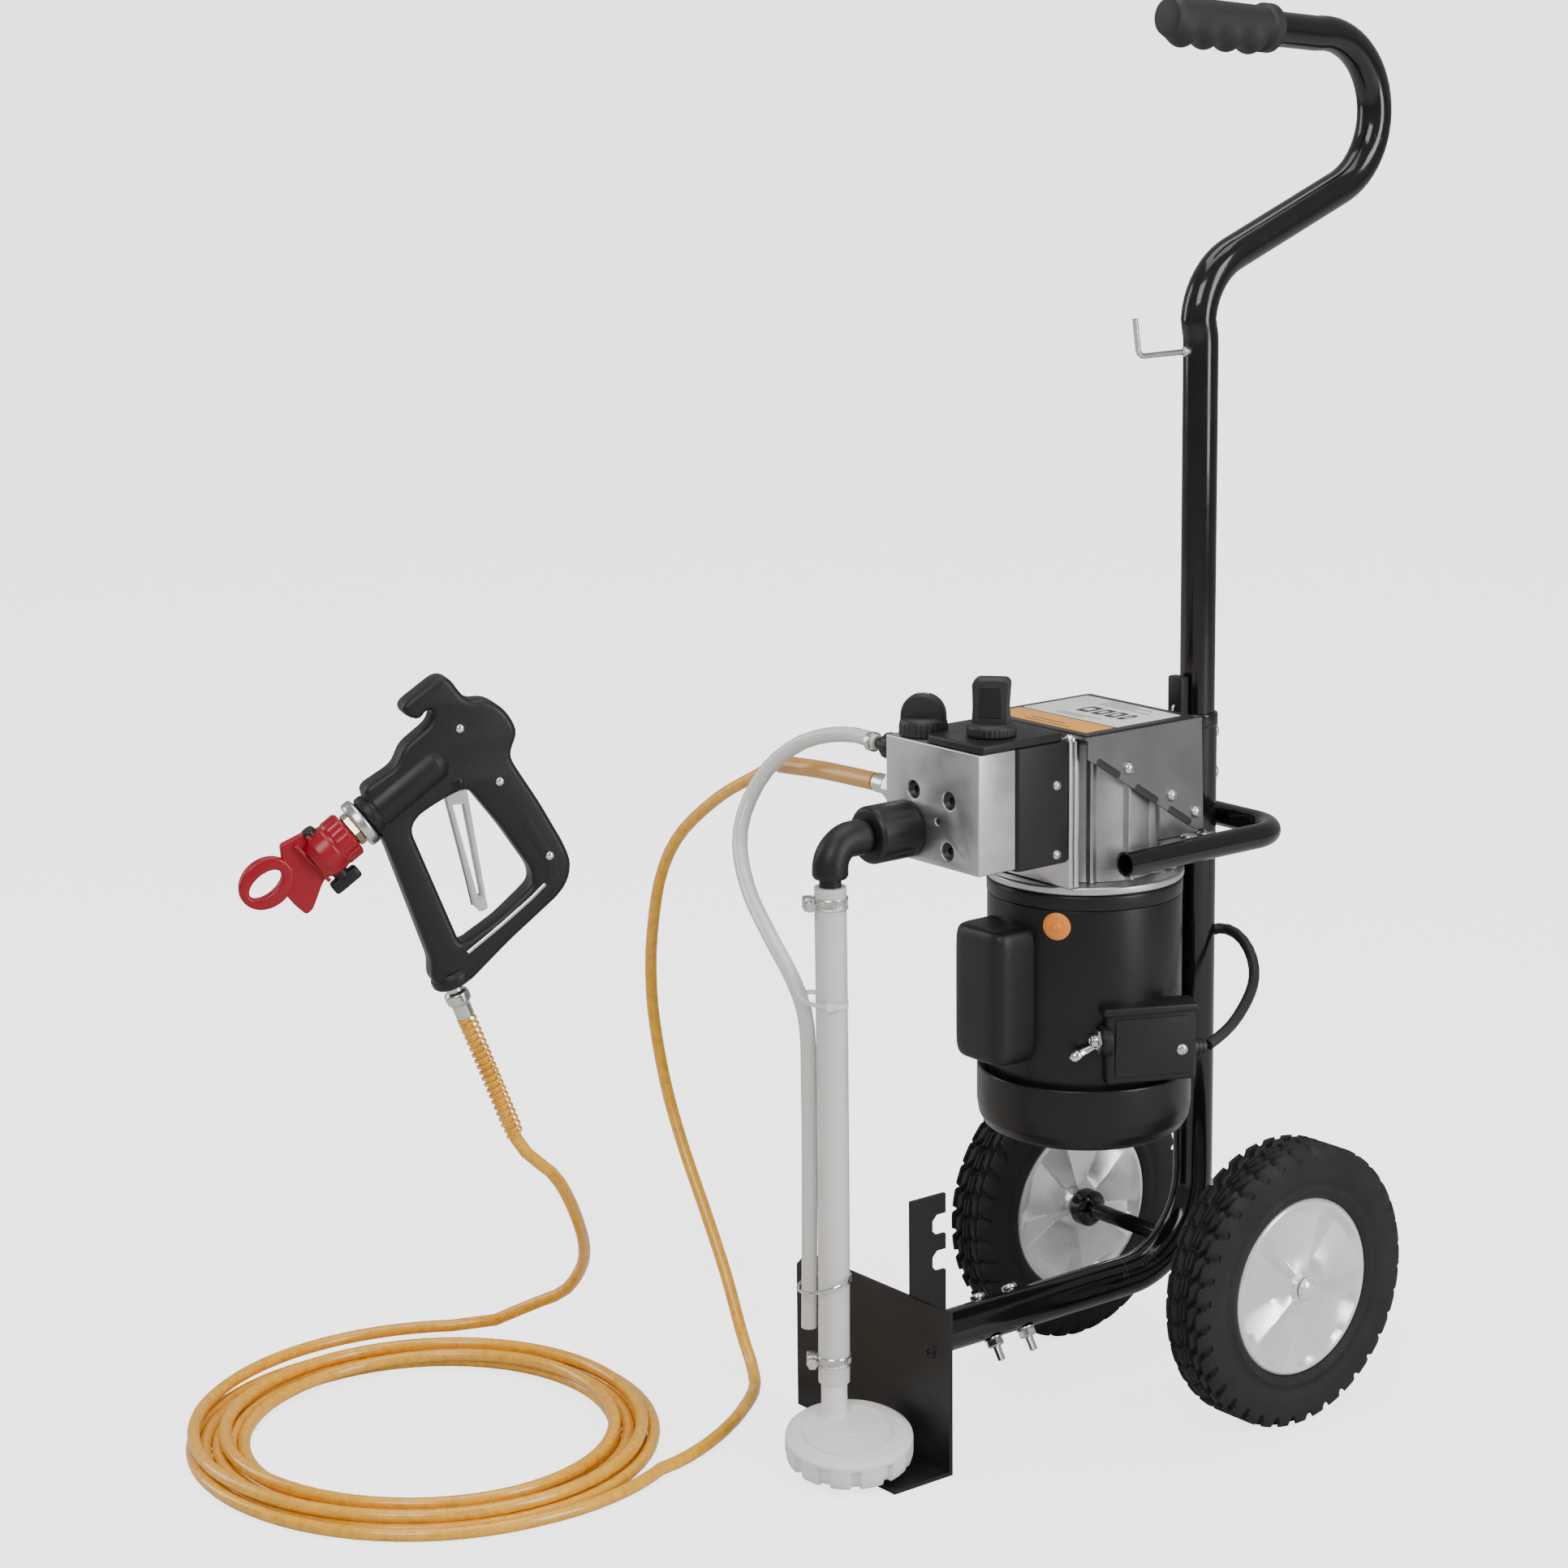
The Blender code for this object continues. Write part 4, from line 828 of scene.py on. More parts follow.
# %% The rack bar
RACK_Z, RACK_X, RACK_R = 413.5, 68.0, 8.75
back = UPRIGHT_Y + 14.3 + RACK_R + 0.3
a = np.radians(np.linspace(180, 90, 20))
left = np.stack([-36 + 32 * np.cos(a), back - 32 + 32 * np.sin(a), np.full(20, RACK_Z)], 1)
right = left[::-1] * [-1, 1, 1]
straight = np.linspace([-RACK_X, -114.9, RACK_Z], [-RACK_X, back - 34, RACK_Z], 14)
rack_line = np.vstack([straight, left, right, straight[::-1] * [-1, 1, 1]])
front_end = rack_line[:1]
rack_line = np.vstack([front_end + [0, 22, 0], front_end + [0, 0.6, 0], front_end,
                       front_end + [0, 0.5, 0],
                       rack_line[1:-1], front_end * [-1, 1, 1] + [0, 0.5, 0],
                       front_end * [-1, 1, 1], front_end * [-1, 1, 1] + [0, 0.6, 0],
                       front_end * [-1, 1, 1] + [0, 22, 0]])
rack_r = np.full(len(rack_line), RACK_R)
rack_r[[0, 1, -1, -2]] = RACK_R - 1.8
rack_r[[2, -3]] = RACK_R - 0.7


def ended_tube(name, line, radius, body, shade, sides, **links):
    """Like swept, but each ring stands square to the run of the whole end, so a line that turns
    back inside its own end draws the bore."""
    u = np.zeros_like(line)
    core = line[3:-3]
    cu, cv = carried(core)
    u, v = np.repeat(cu[:1], len(line), 0), np.repeat(cv[:1], len(line), 0)
    u[3:-3], v[3:-3] = cu, cv
    u[-3:], v[-3:] = cu[-1], cv[-1]
    ang = np.linspace(0, math.tau, sides, endpoint=False)[None, :, None]
    points = line[:, None] + radius[:, None, None] * (np.cos(ang) * u[:, None]
                                                      + np.sin(ang) * v[:, None])
    mesh = grid_mesh(name, points, wrap_columns=True, caps=True)
    return show(name, mesh, body, shade, links.get("stands_for", ()))


rack = ended_tube("rack_bar", rack_line, rack_r, "sprayer", ENAMEL, 36, stands_for="rack_tube",
                  slot="black_enamel")
print("rack bar points", len(rack_line))

# %% [markdown]
# ## Grip and small frame parts
# The grip is a lathe body whose underside swells in four finger rolls: the radius grows by a
# raised cosine along the grip, but only on the lower side.

# %% The grip
GRIP_AT = np.array([0, 35, 977.7])
GRIP_DIR = (0, -math.cos(math.radians(5.28)), math.sin(math.radians(5.28)))
grip_z = np.concatenate([[51, 50.8], np.linspace(50, -40, 110), [-41, -42, -49, -50.6, -51, -51]])
grip_r = np.interp(grip_z, [-51, -50.5, -49, -42, -40, 36, 46, 50, 51],
                   [14.6, 16.4, 17.4, 17.4, 15.2, 15.4, 14.8, 13, 9.6])
grip_profile = np.vstack([[0, 51], np.stack([grip_r, grip_z], 1), [0, -51]])


def finger_rolls(r, z, a):
    """r + 4.6 max(0, down)^1.4 (0.5 + 0.5 cos(2 pi (z - 36) / 22)), fine rings at the rear."""
    down = np.clip(np.cos(a + math.pi / 2), 0, 1)
    roll = 0.5 + 0.5 * np.cos(math.tau * (z - 36) / 22)
    along = np.clip((z + 42) / 4, 0, 1) * np.clip((49 - z) / 5, 0, 1)
    return r + 4.6 * down ** 1.4 * roll * along * (r > 5), z


turned("finger_grip", grip_profile, "sprayer", SOFT_GRIP, GRIP_AT, GRIP_DIR, 96,
       swell=finger_rolls, stands_for="handle_grip", slot="rubber")
print("grip rolls", 4)


# %% Bolts, nuts and screws
def hex_prism(name, across, low, high, body, shade, at, direction, chamfer=0.8, **links):
    """A hexagon nut: r(a) = half flats / cos(a mod 60 - 30), with its corners turned off by a
    cone at both faces."""
    flats = across / 2
    profile = np.array([[0, high], [flats * 0.9, high], [2, high - chamfer], [2, low + chamfer],
                        [flats * 0.9, low], [0, low]])

    def six(r, z, a):
        """The rim follows the flats; inner rings stay inside them."""
        side = flats / np.cos(np.mod(a, math.pi / 3) - math.pi / 6)
        return np.where(r == 2, side, np.minimum(r, side)), z
    return turned(name, profile, body, shade, at, direction, 48, ring=False, swell=six, **links)


def pan_screw(name, radius, height, body, shade, at, direction, **links):
    """A domed screw head with a cross recess sunk by a narrow valley along two lines."""
    profile = np.stack([np.linspace(0, radius, 14),
                        height * np.sqrt(1 - np.linspace(0, 1, 14) ** 2)], 1)
    profile = np.vstack([profile, [radius, -0.6], [0, -0.6]])

    def cross(r, z, a):
        """Sinks the head where the smaller of |x| and |y| is near zero."""
        x, y = np.abs(r * np.cos(a)), np.abs(r * np.sin(a))
        groove = (np.minimum(x, y) < radius * 0.14) & (np.maximum(x, y) < radius * 0.55)
        return r, z - np.where(groove & (z > height * 0.3), height * 0.45, 0)
    return turned(name, profile, body, shade, at, direction, 48, ring=False, swell=cross, **links)


for name, z in (("upper", 476), ("lower", 446)):
    turned("joint_bolt_" + name + "_round",
           soften([(0, 17.8), (4.5, 17.6), (5.6, 14.7), (3, 14.7), (3, -14.7), (5.5, -14.7),
                   (5.5, -17), (4, -18.4), (0, -18.4)], 0.7), "sprayer", ZINC,
           (0, UPRIGHT_Y, z), (0, -1, 0), 40, stands_for="joint_bolt_" + name, slot="zinc")
LEAN = math.radians(34)
BOLT_DOWN = (math.sin(LEAN), 0, -math.cos(LEAN))
for name, y in (("front", -181.0), ("rear", -151.0)):
    at = (0, y, BASE_Z)
    turned("foot_bolt_" + name + "_shank",
           soften([(0, 31), (3, 30.6), (3, -14.7), (5.5, -14.7), (5.5, -17.4), (4, -18.4),
                   (0, -18.4)], 0.5), "sprayer", ZINC, at, BOLT_DOWN, 32,
           swell=lambda r, z, a: (np.where((r == 3) & (z > 20), 2.8, r), z),
           stands_for="foot_bolt_" + name, slot="zinc")
    hex_prism("foot_nut_" + name, 11, 15.2, 20.5, "sprayer", ZINC, at, BOLT_DOWN)
    turned("foot_washer_" + name, [(6.8, 15.1), (6.8, 14.2), (3.1, 14.2), (3.1, 15.1)], "sprayer",
           ZINC, at, BOLT_DOWN, 32)
hook_a = np.radians(np.linspace(-90, -172, 14))
hook_line = np.vstack([[0, UPRIGHT_Y - 16.1, 750.8], [0, -30, 750.6],
                       np.stack([np.zeros(14), -34.5 + 6 * np.cos(hook_a),
                                 756.5 + 6 * np.sin(hook_a)], 1),
                       [0, -43.5, 776.8]])
swept("wire_hook_round", evenly(hook_line, 1.5), 2.0, "sprayer", ZINC, 16, "wire_hook")
turned("wire_hook_ferrule", soften([(0, 0), (3.4, 0), (3.4, 4), (2.2, 5), (0, 5)], 0.4), "sprayer",
       ZINC, (0, UPRIGHT_Y - 12.3, 750.8), (0, -1, 0), 24)
block("joint_lug", (-7, -3, 484), (7, 5.6, 520), "sprayer", PLASTIC, 2, None, 1.2, "joint_clamp",
      "black_plastic")
swept("joint_pin", [(-2, -6, 474), (-1, -6, 486), (0, -4, 498), (0, 4, 503)], 1.1, "sprayer", ZINC,
      12)
turned("joint_collar", soften([(14.3, 492), (14.9, 491), (14.9, 483), (14.3, 482), (12.7, 482),
                               (12.7, 492)], 0.5, True), "sprayer", ENAMEL, (0, UPRIGHT_Y, 0),
       (0, 0, 1), 48, ring=True)
for name, z in (("high", 122), ("low", 99)):
    reach = math.radians(-8 if name == "high" else -33)
    spot = np.array([4, UPRIGHT_Y - BEND_R + 80.4 * math.cos(reach),
                     BASE_Z + BEND_R + 80.4 * math.sin(reach)])
    pan_screw("bend_rivet_" + name, 4.6, 2.4, "sprayer", ZINC, spot - [0, 0.6, 0],
              (0.3, math.cos(reach), math.sin(reach)))
print("bolts, nuts and hook made")

# %% [markdown]
# ## The foot
# Panel, flange and notched strip are sheet steel. The CAD shape is already right, so it keeps its
# mesh and takes the satin sheet finish; its hidden stub lies inside the base tube.

# %% Sheet finish on the foot
def dress(name, shade):
    """A CAD node that keeps its shape takes a finish of its own."""
    node = nodes[name]
    node.data.materials.clear()
    node.data.materials.append(shade)


dress("foot_plate", SHEET_BLACK)
for x, z in ((-104, 84), (22, 84)):
    pan_screw("panel_rivet_%d" % x, 5, 2.2, "sprayer", SHEET_BLACK, (x, PANEL_Y - 0.2, z),
              (0, -1, 0))
print("foot dressed")

# %% [markdown]
# ## Wheels
# A solid tyre has rows of tread blocks, a shoulder and a ring groove in its wall. The tread could
# be hundreds of small boxes, but one swell of the radius is lighter and has no seams: a wave round
# the tyre, out of step from row to row, cuts it into blocks. The hub is a painted disc pressed
# into five blades like a fan's.

# %% Tyres
BLOCKS = 36      # tread blocks in one row round the tyre
WHEEL_X = 113.5  # wheel centre from the middle of the cart
WHEEL_Z = 101.6  # wheel centre above the floor


def tread(r, z, a):
    """Rows of blocks: the radius drops 4.2 mm where either a slanted wave round the tyre, out of
    step from row to row, or a narrow wave across it is in its gap. Nothing drops on the wall."""
    row = np.floor((z + 20) / 8).astype(int)
    phase = np.mod((a + 0.01 * np.abs(z)) * BLOCKS / math.tau + 0.5 * (row % 2), 1.0)
    gap = np.clip((0.17 - np.abs(phase - 0.5)) * 14, 0, 1)
    across = np.mod(z + 20, 8)
    seam = np.clip((1.3 - np.abs(across - 4 + 4 * np.sign(4 - across))) * 1.4, 0, 1)
    seam = seam * (np.abs(z) < 14)
    tall = np.clip((r - 93) / 3, 0, 1)
    return r - 4.2 * np.maximum(gap, 0.7 * seam) * tall, z


half = 20.0
wall = [(64.2, 16.8), (66.5, 18.6), (70, 19.4), (73, 18.0), (75, 18.0), (77.5, 19.6), (84, 20.0),
        (90, 20.0), (93, 19.7), (96.4, 19.0), (99.6, 17.2)]
top = [(101.5, z) for z in np.linspace(15.2, -15.2, 37)]
tyre_profile = wall + top + [(r, -z) for r, z in reversed(wall)]
for name, side in (("near", 1), ("far", -1)):
    turned("tyre_%s_treaded" % name, tyre_profile, "wheel_" + name, TYRE,
           (side * WHEEL_X, 0, WHEEL_Z), (side, 0, 0), 576, ring=True, swell=tread,
           stands_for="tyre_" + name, slot="tyre")
print("blocks in a row", BLOCKS)


# %% Hubs
def hub_faces(r, z, a):
    """Five blades like a fan's: z drops 7 mm over most of a sector and climbs back in the rest, on
    both faces, fading at the rim and the middle."""
    part = np.mod(a * 5 / math.tau, 1.0)
    fold = np.where(part < 0.66, part / 0.66, (1 - part) / 0.34)
    span = np.clip((r - 9) / 14, 0, 1) * np.clip((59 - r) / 2.5, 0, 1)
    return r, z - np.sign(z) * 7.0 * span * fold * (np.abs(z) > 10)


face = [(6.4, 20.5), (9.5, 20.5), (10.5, 19.6), (11.5, 17.4)]
face += [(r, 17.6) for r in np.linspace(13, 59, 14)]
rim = [(60, 17.8), (61.6, 17.9), (63.0, 17.0), (63.7, 16.0)]
inner = [(63.7, -16.0), (63.0, -17.0), (60, -17.8)] + [(r, -17.4) for r in np.linspace(58, 15, 12)]
hub_profile = face + rim + inner + [(13, -18.6), (6.4, -18.7)]
for name, side in (("near", 1), ("far", -1)):
    turned("hub_%s_faceted" % name, hub_profile, "wheel_" + name, HUB_WHITE,
           (side * WHEEL_X, 0, WHEEL_Z), (side, 0, 0), 200, ring=True, swell=hub_faces,
           stands_for="hub_" + name, slot="hub_plastic")
print("hub blades", 5)

# %% Axle with its bosses and caps
end_x, boss_x = WHEEL_X + 20.8, WHEEL_X - 19.1
half_axle = [(0, end_x + 4.9), (4.5, end_x + 4.4), (7.4, end_x + 2.6), (8.5, end_x + 0.3),
             (6, end_x), (6, boss_x), (13.4, boss_x), (14, boss_x - 1), (13.6, boss_x - 9),
             (10, boss_x - 12), (6, boss_x - 12.4)]
axle_profile = half_axle + [(r, -x) for r, x in reversed(half_axle)]
turned("axle_rod", soften(axle_profile, 0.6), "sprayer", ENAMEL, (0, 0, WHEEL_Z), (1, 0, 0), 48,
       ring=False, stands_for="axle", slot="black_enamel")
for side in (1, -1):
    turned("push_cap_%d" % side, soften([(0, 5.0), (4, 4.8), (7.6, 3), (8.6, 0.2), (0, 0.2)], 0.8),
           "sprayer", HUB_WHITE if side > 0 else ZINC,
           (side * (end_x + 0.1), 0, WHEEL_Z), (side, 0, 0), 40)
print("axle", round(2 * end_x), "mm")

# %% [markdown]
# ## Motor
# A painted steel shell between a die-cast end bell on top and a rolled bell below. All three are
# lathe surfaces; their corners are rounded in the profile, so each keeps one clean highlight.

# %% Motor shell and bells
MOTOR = (0, -88.6, 0)
turned("motor_can", soften([(68.5, 380), (68.5, 222), (66, 222), (66, 380)], 0.5, True), "sprayer",
       MOTOR_BLACK, MOTOR, steps=128, ring=True, stands_for="motor_shell", slot="black_enamel")
bell = [(68.8, 249), (73.4, 252.6), (74.6, 254.6), (75.7, 253.6), (75.7, 228), (74.4, 219),
        (71, 212.6), (66, 209),
        (58, 207), (20, 207), (20, 210), (60, 210.5), (68.8, 216)]
turned("lower_bell", soften(bell, 1.0, True), "sprayer", MOTOR_BLACK, MOTOR, steps=128, ring=True,
       stands_for="motor_bell", slot="black_enamel")


end_bell = [(8.6, 391), (67.5, 391), (68.9, 389.6), (68.9, 380.4), (8.6, 380.4)]
turned("upper_bell", soften(end_bell, 0.7, True), "sprayer", MOTOR_BLACK, MOTOR, steps=128,
       ring=True,
       stands_for="motor_end_bell", slot="black_enamel")
turned("bell_flange", soften([(8.6, 397), (68.6, 397), (69.6, 396), (69.6, 392.4), (68.6, 391.3),
                              (8.6, 391.3)],
                             0.4, True), "sprayer", MACHINED, MOTOR, steps=128, ring=True)
for k in range(4):
    ang = math.radians(38 + 90 * k)
    hex_prism("through_bolt_%d" % k, 8, 397.1, 402, "sprayer", ZINC,
              (61 * math.cos(ang), -88.6 + 61 * math.sin(ang), 0), (0, 0, 1))
for k in range(10):
    ang = math.tau * (k + 0.5) / 10
    frame3 = rotated(ang)
    slot_at = np.array([39 * math.cos(ang), -88.6 + 39 * math.sin(ang), 206.9])
    slab("bell_vent_%d" % k, corner_square(12, 3.4, 3.3), 1.2, "sprayer", PAPER_BLACK, slot_at,
         frame3, edge=0.3)
print("motor turned, vents", 10)

# %% Windings, rotor and fan
dress("stator", COPPER)
dress("rotor", ZINC)
dress("cooling_fan", PLASTIC)
dress("piston", CHROME)


# %% A boxy crowned form
def crowned(name, low, high, power, body, shade, frame3=None, at=None, cut=None, **links):
    """A superellipsoid: each direction cosine is raised to 1/power, so power 1 is an ellipsoid
    and larger powers square it off while every side stays slightly crowned."""
    low, high = np.array(low, float), np.array(high, float)
    b = np.radians(np.linspace(-90, 90, 49))[:, None]
    a = np.linspace(0, math.tau, 96, endpoint=False)[None, :]

    def flat(value, p):
        """Sign times size to the power 1/p."""
        return np.sign(value) * np.abs(value) ** (1 / p)
    x = flat(np.cos(b), power[1]) * flat(np.cos(a), power[0])
    y = flat(np.cos(b), power[1]) * flat(np.sin(a), power[0])
    z = flat(np.sin(b), power[1]) * np.ones_like(a)
    unit = np.stack([x, y, z], -1)
    local = (low + high) / 2 + unit * (high - low) / 2
    if cut is not None:
        local = cut(local)
    if frame3 is not None:
        local = local @ np.array(frame3)
    if at is not None:
        local = local + np.array(at, float)
    mesh = grid_mesh(name, local, wrap_columns=True)
    return show(name, mesh, body, shade, links.get("stands_for", ()))


crowned("capacitor_housing", (-32, -186, 270), (20, -140, 366), (2.6, 5.0), "sprayer", PLASTIC,
        stands_for="capacitor_cover", slot="black_plastic")
block("capacitor_foot", (-30, -166, 273), (18, -150, 363), "sprayer", PLASTIC, 3, None, 1.5)
for x in (-24, 12):
    pan_screw("capacitor_screw_%d" % x, 3.4, 1.8, "sprayer", SHEET_BLACK, (x * 0.96, -176.5, 362),
              (0, -0.8, 0.6))
cap_dir = (math.cos(math.radians(-59)), math.sin(math.radians(-59)), 0)
cap_profile = [(0, 3.0), (2.6, 2.9), (3.0, 2.4), (3.6, 1.9), (7.6, 1.8), (9.6, 0.6), (10, -1.4),
               (0, -1.4)]
turned("reset_button", cap_profile, "sprayer", ORANGE,
       (68.4 * cap_dir[0], -88.6 + 68.4 * cap_dir[1], 369), cap_dir, 48,
       stands_for="overload_cap", slot="orange_plastic")
print("capacitor housing and reset button made")

# %% [markdown]
# ## Switch box
# The box sits on the motor's flank, turned 25 degrees forward. Its lid overhangs like a drip
# edge, a chromed toggle stands at the front end and the lead leaves at the rear through a
# tapered strain relief.

# %% Switch box, lid and strain relief
BOX_AT = np.array([80.0, -98.6, 286.0])
BOX = rotated(math.radians(-25))


def on_box(x, y, z):
    """A point of the switch box's own frame: X outwards, Y to the rear, Z up."""
    return BOX_AT + np.array([x, y, z]) @ BOX


def box_block(name, low, high, round_by=2.5, edge=1.2, shade=PLASTIC, **links):
    """A block in the switch box's own frame, between two of its corners."""
    low, high = np.array(low, float), np.array(high, float)
    middle, half = (low + high) / 2, (high - low) / 2
    return slab(name, corner_square(half[0], half[1], round_by), 2 * half[2], "sprayer", shade,
                on_box(*middle), BOX, (), edge, **links)


box_block("switch_body", (-20, -33, -27), (0, 32, 24), 3.5, 2.2, stands_for="switch_box",
          slot="black_plastic")
box_block("switch_lid", (-20, -36, 22.4), (3.6, 33, 27.8), 3, 1.4)
box_block("switch_face", (-0.4, -27, -22), (1.2, 26, 19), 0.6, 0.5)
turned("toggle_boss", soften([(5.6, 37), (9.4, 37), (10.6, 35.5), (11, 30), (5.6, 30)], 0.5, True),
       "sprayer", PLASTIC, on_box(-5, 0, 4), -BOX[1], 40, ring=True)
hex_prism("toggle_nut", 16, 36.9, 40.2, "sprayer", CHROME, on_box(-5, 0, 4), -BOX[1])
turned("toggle_bushing", soften([(2.6, 43.5), (4.4, 43.5), (4.9, 42), (4.9, 39), (2.6, 39)], 0.4,
                                True),
       "sprayer", CHROME, on_box(-5, 0, 4), -BOX[1], 32, ring=True,
       swell=lambda r, z, a: (np.where(r > 4.6, r + 0.2 * np.sin(z * 9), r), z))
tip = math.radians(24)
bat_dir = np.array([0, -math.cos(tip), -math.sin(tip)]) @ BOX
bat_z = np.concatenate([np.linspace(28.4, 20, 16), [14, 8, 2, 0]])
bat_r = np.concatenate([3.4 * np.sqrt(np.clip(1 - ((np.linspace(28.4, 20, 16) - 23.6) / 4.85) ** 2,
                                              0, 1)) + 0.9,
                        [2.5, 2.0, 1.9, 1.8]])
turned("toggle_bat", np.vstack([[0, 28.6], np.stack([bat_r, bat_z], 1), [0, 0]]), "toggle_lever",
       CHROME,
       on_box(-5, -32, 4), bat_dir, 36, ring=False, stands_for="toggle_lever", slot="zinc")
pan_screw("switch_screw", 4.2, 2.0, "sprayer", ZINC, on_box(1.2, 21, -5), BOX[0])
relief_z = np.linspace(30, 43, 40)
relief_r = np.interp(relief_z, [30, 34, 34.2, 43], [7.4, 7.4, 6.4, 4.9]) - 0.5 * (
    np.mod(relief_z, 3) < 1.1) * (relief_z > 34.5)
turned("strain_relief", np.vstack([[0, 43], np.stack([relief_r, relief_z], 1)[::-1], [0, 30]]),
       "sprayer", LEAD, on_box(-13, 0, -8), BOX[1], 36, ring=False)
print("switch box at", BOX_AT)

# %% [markdown]
# ## Gearbox and its cover
# The crank housing is a ribbed casting. A sheet cover sits over it, with a printed label on top
# that is made of plain coloured areas.

# %% Gearbox casting
GEAR = (0, -88.6, 0)


def cast_ribs(r, z, a):
    """Vertical ribs: r + 3.2 where the angle is near one of the rib angles, below the top rim."""
    ribs = np.radians([-38, -8, 22, 158, 188, 218])
    gap = np.abs(np.mod(a[..., None] - ribs + math.pi, math.tau) - math.pi)
    rib = np.clip(1.4 - gap.min(-1) / 0.045, 0, 1)
    return r + 3.2 * rib * (r > 50) * (z < 494), z


case = [(0, 500), (47.5, 500), (51, 497), (52, 493.8), (52, 493), (51, 480), (50.6, 430),
        (51, 404), (54, 397.4), (0, 397.4)]
turned("gear_casting", case, "sprayer", CASTING, GEAR, steps=360, ring=False, swell=cast_ribs,
       stands_for="gearbox_case", slot="casting")
block("flange_rear", (-48, -142.6, 397.6), (48, -138, 500.6), "sprayer", MACHINED, 1.2, None, 0.8)
block("flange_front", (-48, -147.6, 397.6), (48, -143.4, 500.6), "sprayer", MACHINED, 1.2, None,
      0.8)
block("flange_gasket", (-47, -143.6, 398), (47, -142.4, 500), "sprayer", PAPER_BLACK, 0.6, None,
      0.3)
dress("gearbox_cover", GREY_SHEET)
for k, (y, z) in enumerate(((-101, 477), (-60, 452), (-37, 437)), 1):
    pan_screw("cheek_screw_%d" % k, 4.6, 3.6, "sprayer", ZINC, (57.2, y, z), (1, 0, 0),
              stands_for="cover_screw_%d" % k, slot="zinc")
# Three black slabs along the cheek's sloping lower edge are painted shadow: the dark shade under
# that edge, between the screws. No slot is cut.
slope = np.array([0, 92, -58.0])
slope /= np.linalg.norm(slope)
for k, (y, z) in enumerate(((-120, 479.5), (-84, 456.5), (-52, 436.5))):
    middle = np.array([56.4, y, z])
    slab("cheek_slot_%d" % k, corner_square(13, 2.6, 2.4), 1.6, "sprayer", PAPER_BLACK,
         middle, np.array([slope, np.cross([1, 0, 0], slope), [1, 0, 0]]), edge=0.4)
for x in (14, 50):
    pan_screw("bracket_screw_%d" % x, 4.8, 3.4, "sprayer", CHROME, (min(x, 44), -143.2, 500.8),
              (0, 0, 1))
block("mount_bracket", (-22, -40, 404), (50, 5.6, 409), "sprayer", CASTING, 4, None, 1.0)
block("mount_web", (-20, -38, 409), (20, 5.4, 470), "sprayer", CASTING, 5, None, 1.5)
for k, (x, y) in enumerate(((38, -24), (38, -8))):
    hex_prism("mount_bolt_%d" % k, 11, 409, 415, "sprayer", ZINC, (x, y, 0), (0, 0, 1))
print("gearbox cast, ribs", 6)

# %% The label: coloured areas only
LABEL_Z = 504.2
block("label_border", (-54, -138, 503.1), (54, -35, LABEL_Z), "sprayer", PAPER_BLACK, 2.5, None,
      0.3,
      "label_plate", "label")


def patch(name, x0, y0, x1, y1, shade, lift=0.0, round_by=1.2):
    """A thin area of colour on the label, between two corners."""
    return block(name, (x0, y0, LABEL_Z - 0.3), (x1, y1, LABEL_Z + 0.25 + lift), "sprayer", shade,
                 round_by, None, 0.1)


patch("label_field", -48, -103.5, 47, -42, PAPER_WHITE)
patch("label_band", -48, -132, 47, -106, PAPER_ORANGE)
for k, (x0, x1) in enumerate(((-16, -4), (-1, 9), (12, 22), (25, 31))):
    patch("label_mark_%d" % k, x0, -84, x1, -66, PAPER_BLACK, 0.1, 2.4)
    patch("label_mark_eye_%d" % k, x0 + 3.2, -79, x1 - 3.2 if x1 - x0 > 8 else x0 + 4.4, -71,
          PAPER_WHITE, 0.2, 0.6)
for k, y in enumerate((-98, -94, -58, -54, -50, -46)):
    patch("label_line_%d" % k, -20, y, 8 + 24 * ((k * 7) % 5) / 4, y + 1.3, PAPER_BLACK, 0.05, 0.5)
for k, y in enumerate((-128, -122)):
    patch("label_band_line_%d" % k, -20, y, 26 - 12 * k, y + 1.6, PAPER_BLACK, 0.05, 0.5)
print("label areas", 15)

# %% [markdown]
# ## Pump block and knobs
# The machined manifold keeps its CAD holes. The housing behind it is moulded, and the two
# knobs are lathe skirts with raised bars.

# %% Manifold and housing
face = corner_square(48, 41.5, 1.2)
around = np.linspace(0, math.tau, 40, endpoint=False)
ports = [(-19, 7.5, 6.2), (17.5, 5.5, 6.2), (16, -29.5, 6.2), (-26, -20.5, 8.9), (6, -10.5, 2.4)]
bores = [np.stack([x + r * np.cos(around), y + r * np.sin(around)], 1) for x, y, r in ports]
slab("manifold_block", face, 33, "sprayer", MACHINED, (0, -213, 460.5), FRONTWAYS, bores, 0.9,
     "manifold", "aluminium")
block("pump_body", (-49, -196.2, 417), (49, -148, 502), "sprayer", PLASTIC, 4, None, 1.6,
      "pump_housing", "black_plastic")
block("pump_lid", (-8, -227.5, 502.3), (49, -153.7, 508), "sprayer", PLASTIC, 3, None, 1.2,
      "valve_cover", "black_plastic")
for z in (472, 424):
    pan_screw("pump_screw_%d" % z, 3.6, 2.4, "sprayer", ZINC, (48.8, -160, z), (1, 0, 0))
for k, (x, z) in enumerate(((-19, 468), (17.5, 466), (16, 431))):
    turned("socket_bolt_%d" % k, soften([(2.8, -3), (5.9, -3), (5.9, -8), (0, -8), (0, -6),
                                         (2.8, -6)], 0.3),
           "sprayer", PAPER_BLACK, (x, -229.5, z), (0, -1, 0), 36, ring=True,
           swell=lambda r, z, a: (
               np.where((r < 3) & (r > 2), 2.4 / np.cos(np.mod(a, math.pi / 3) - math.pi / 6),
                        r), z))
print("pump block dressed")

# %% Prime knob and pressure knob
PRIME, DIAL = np.array([-30, -211, 502.3]), np.array([24, -197, 508.3])


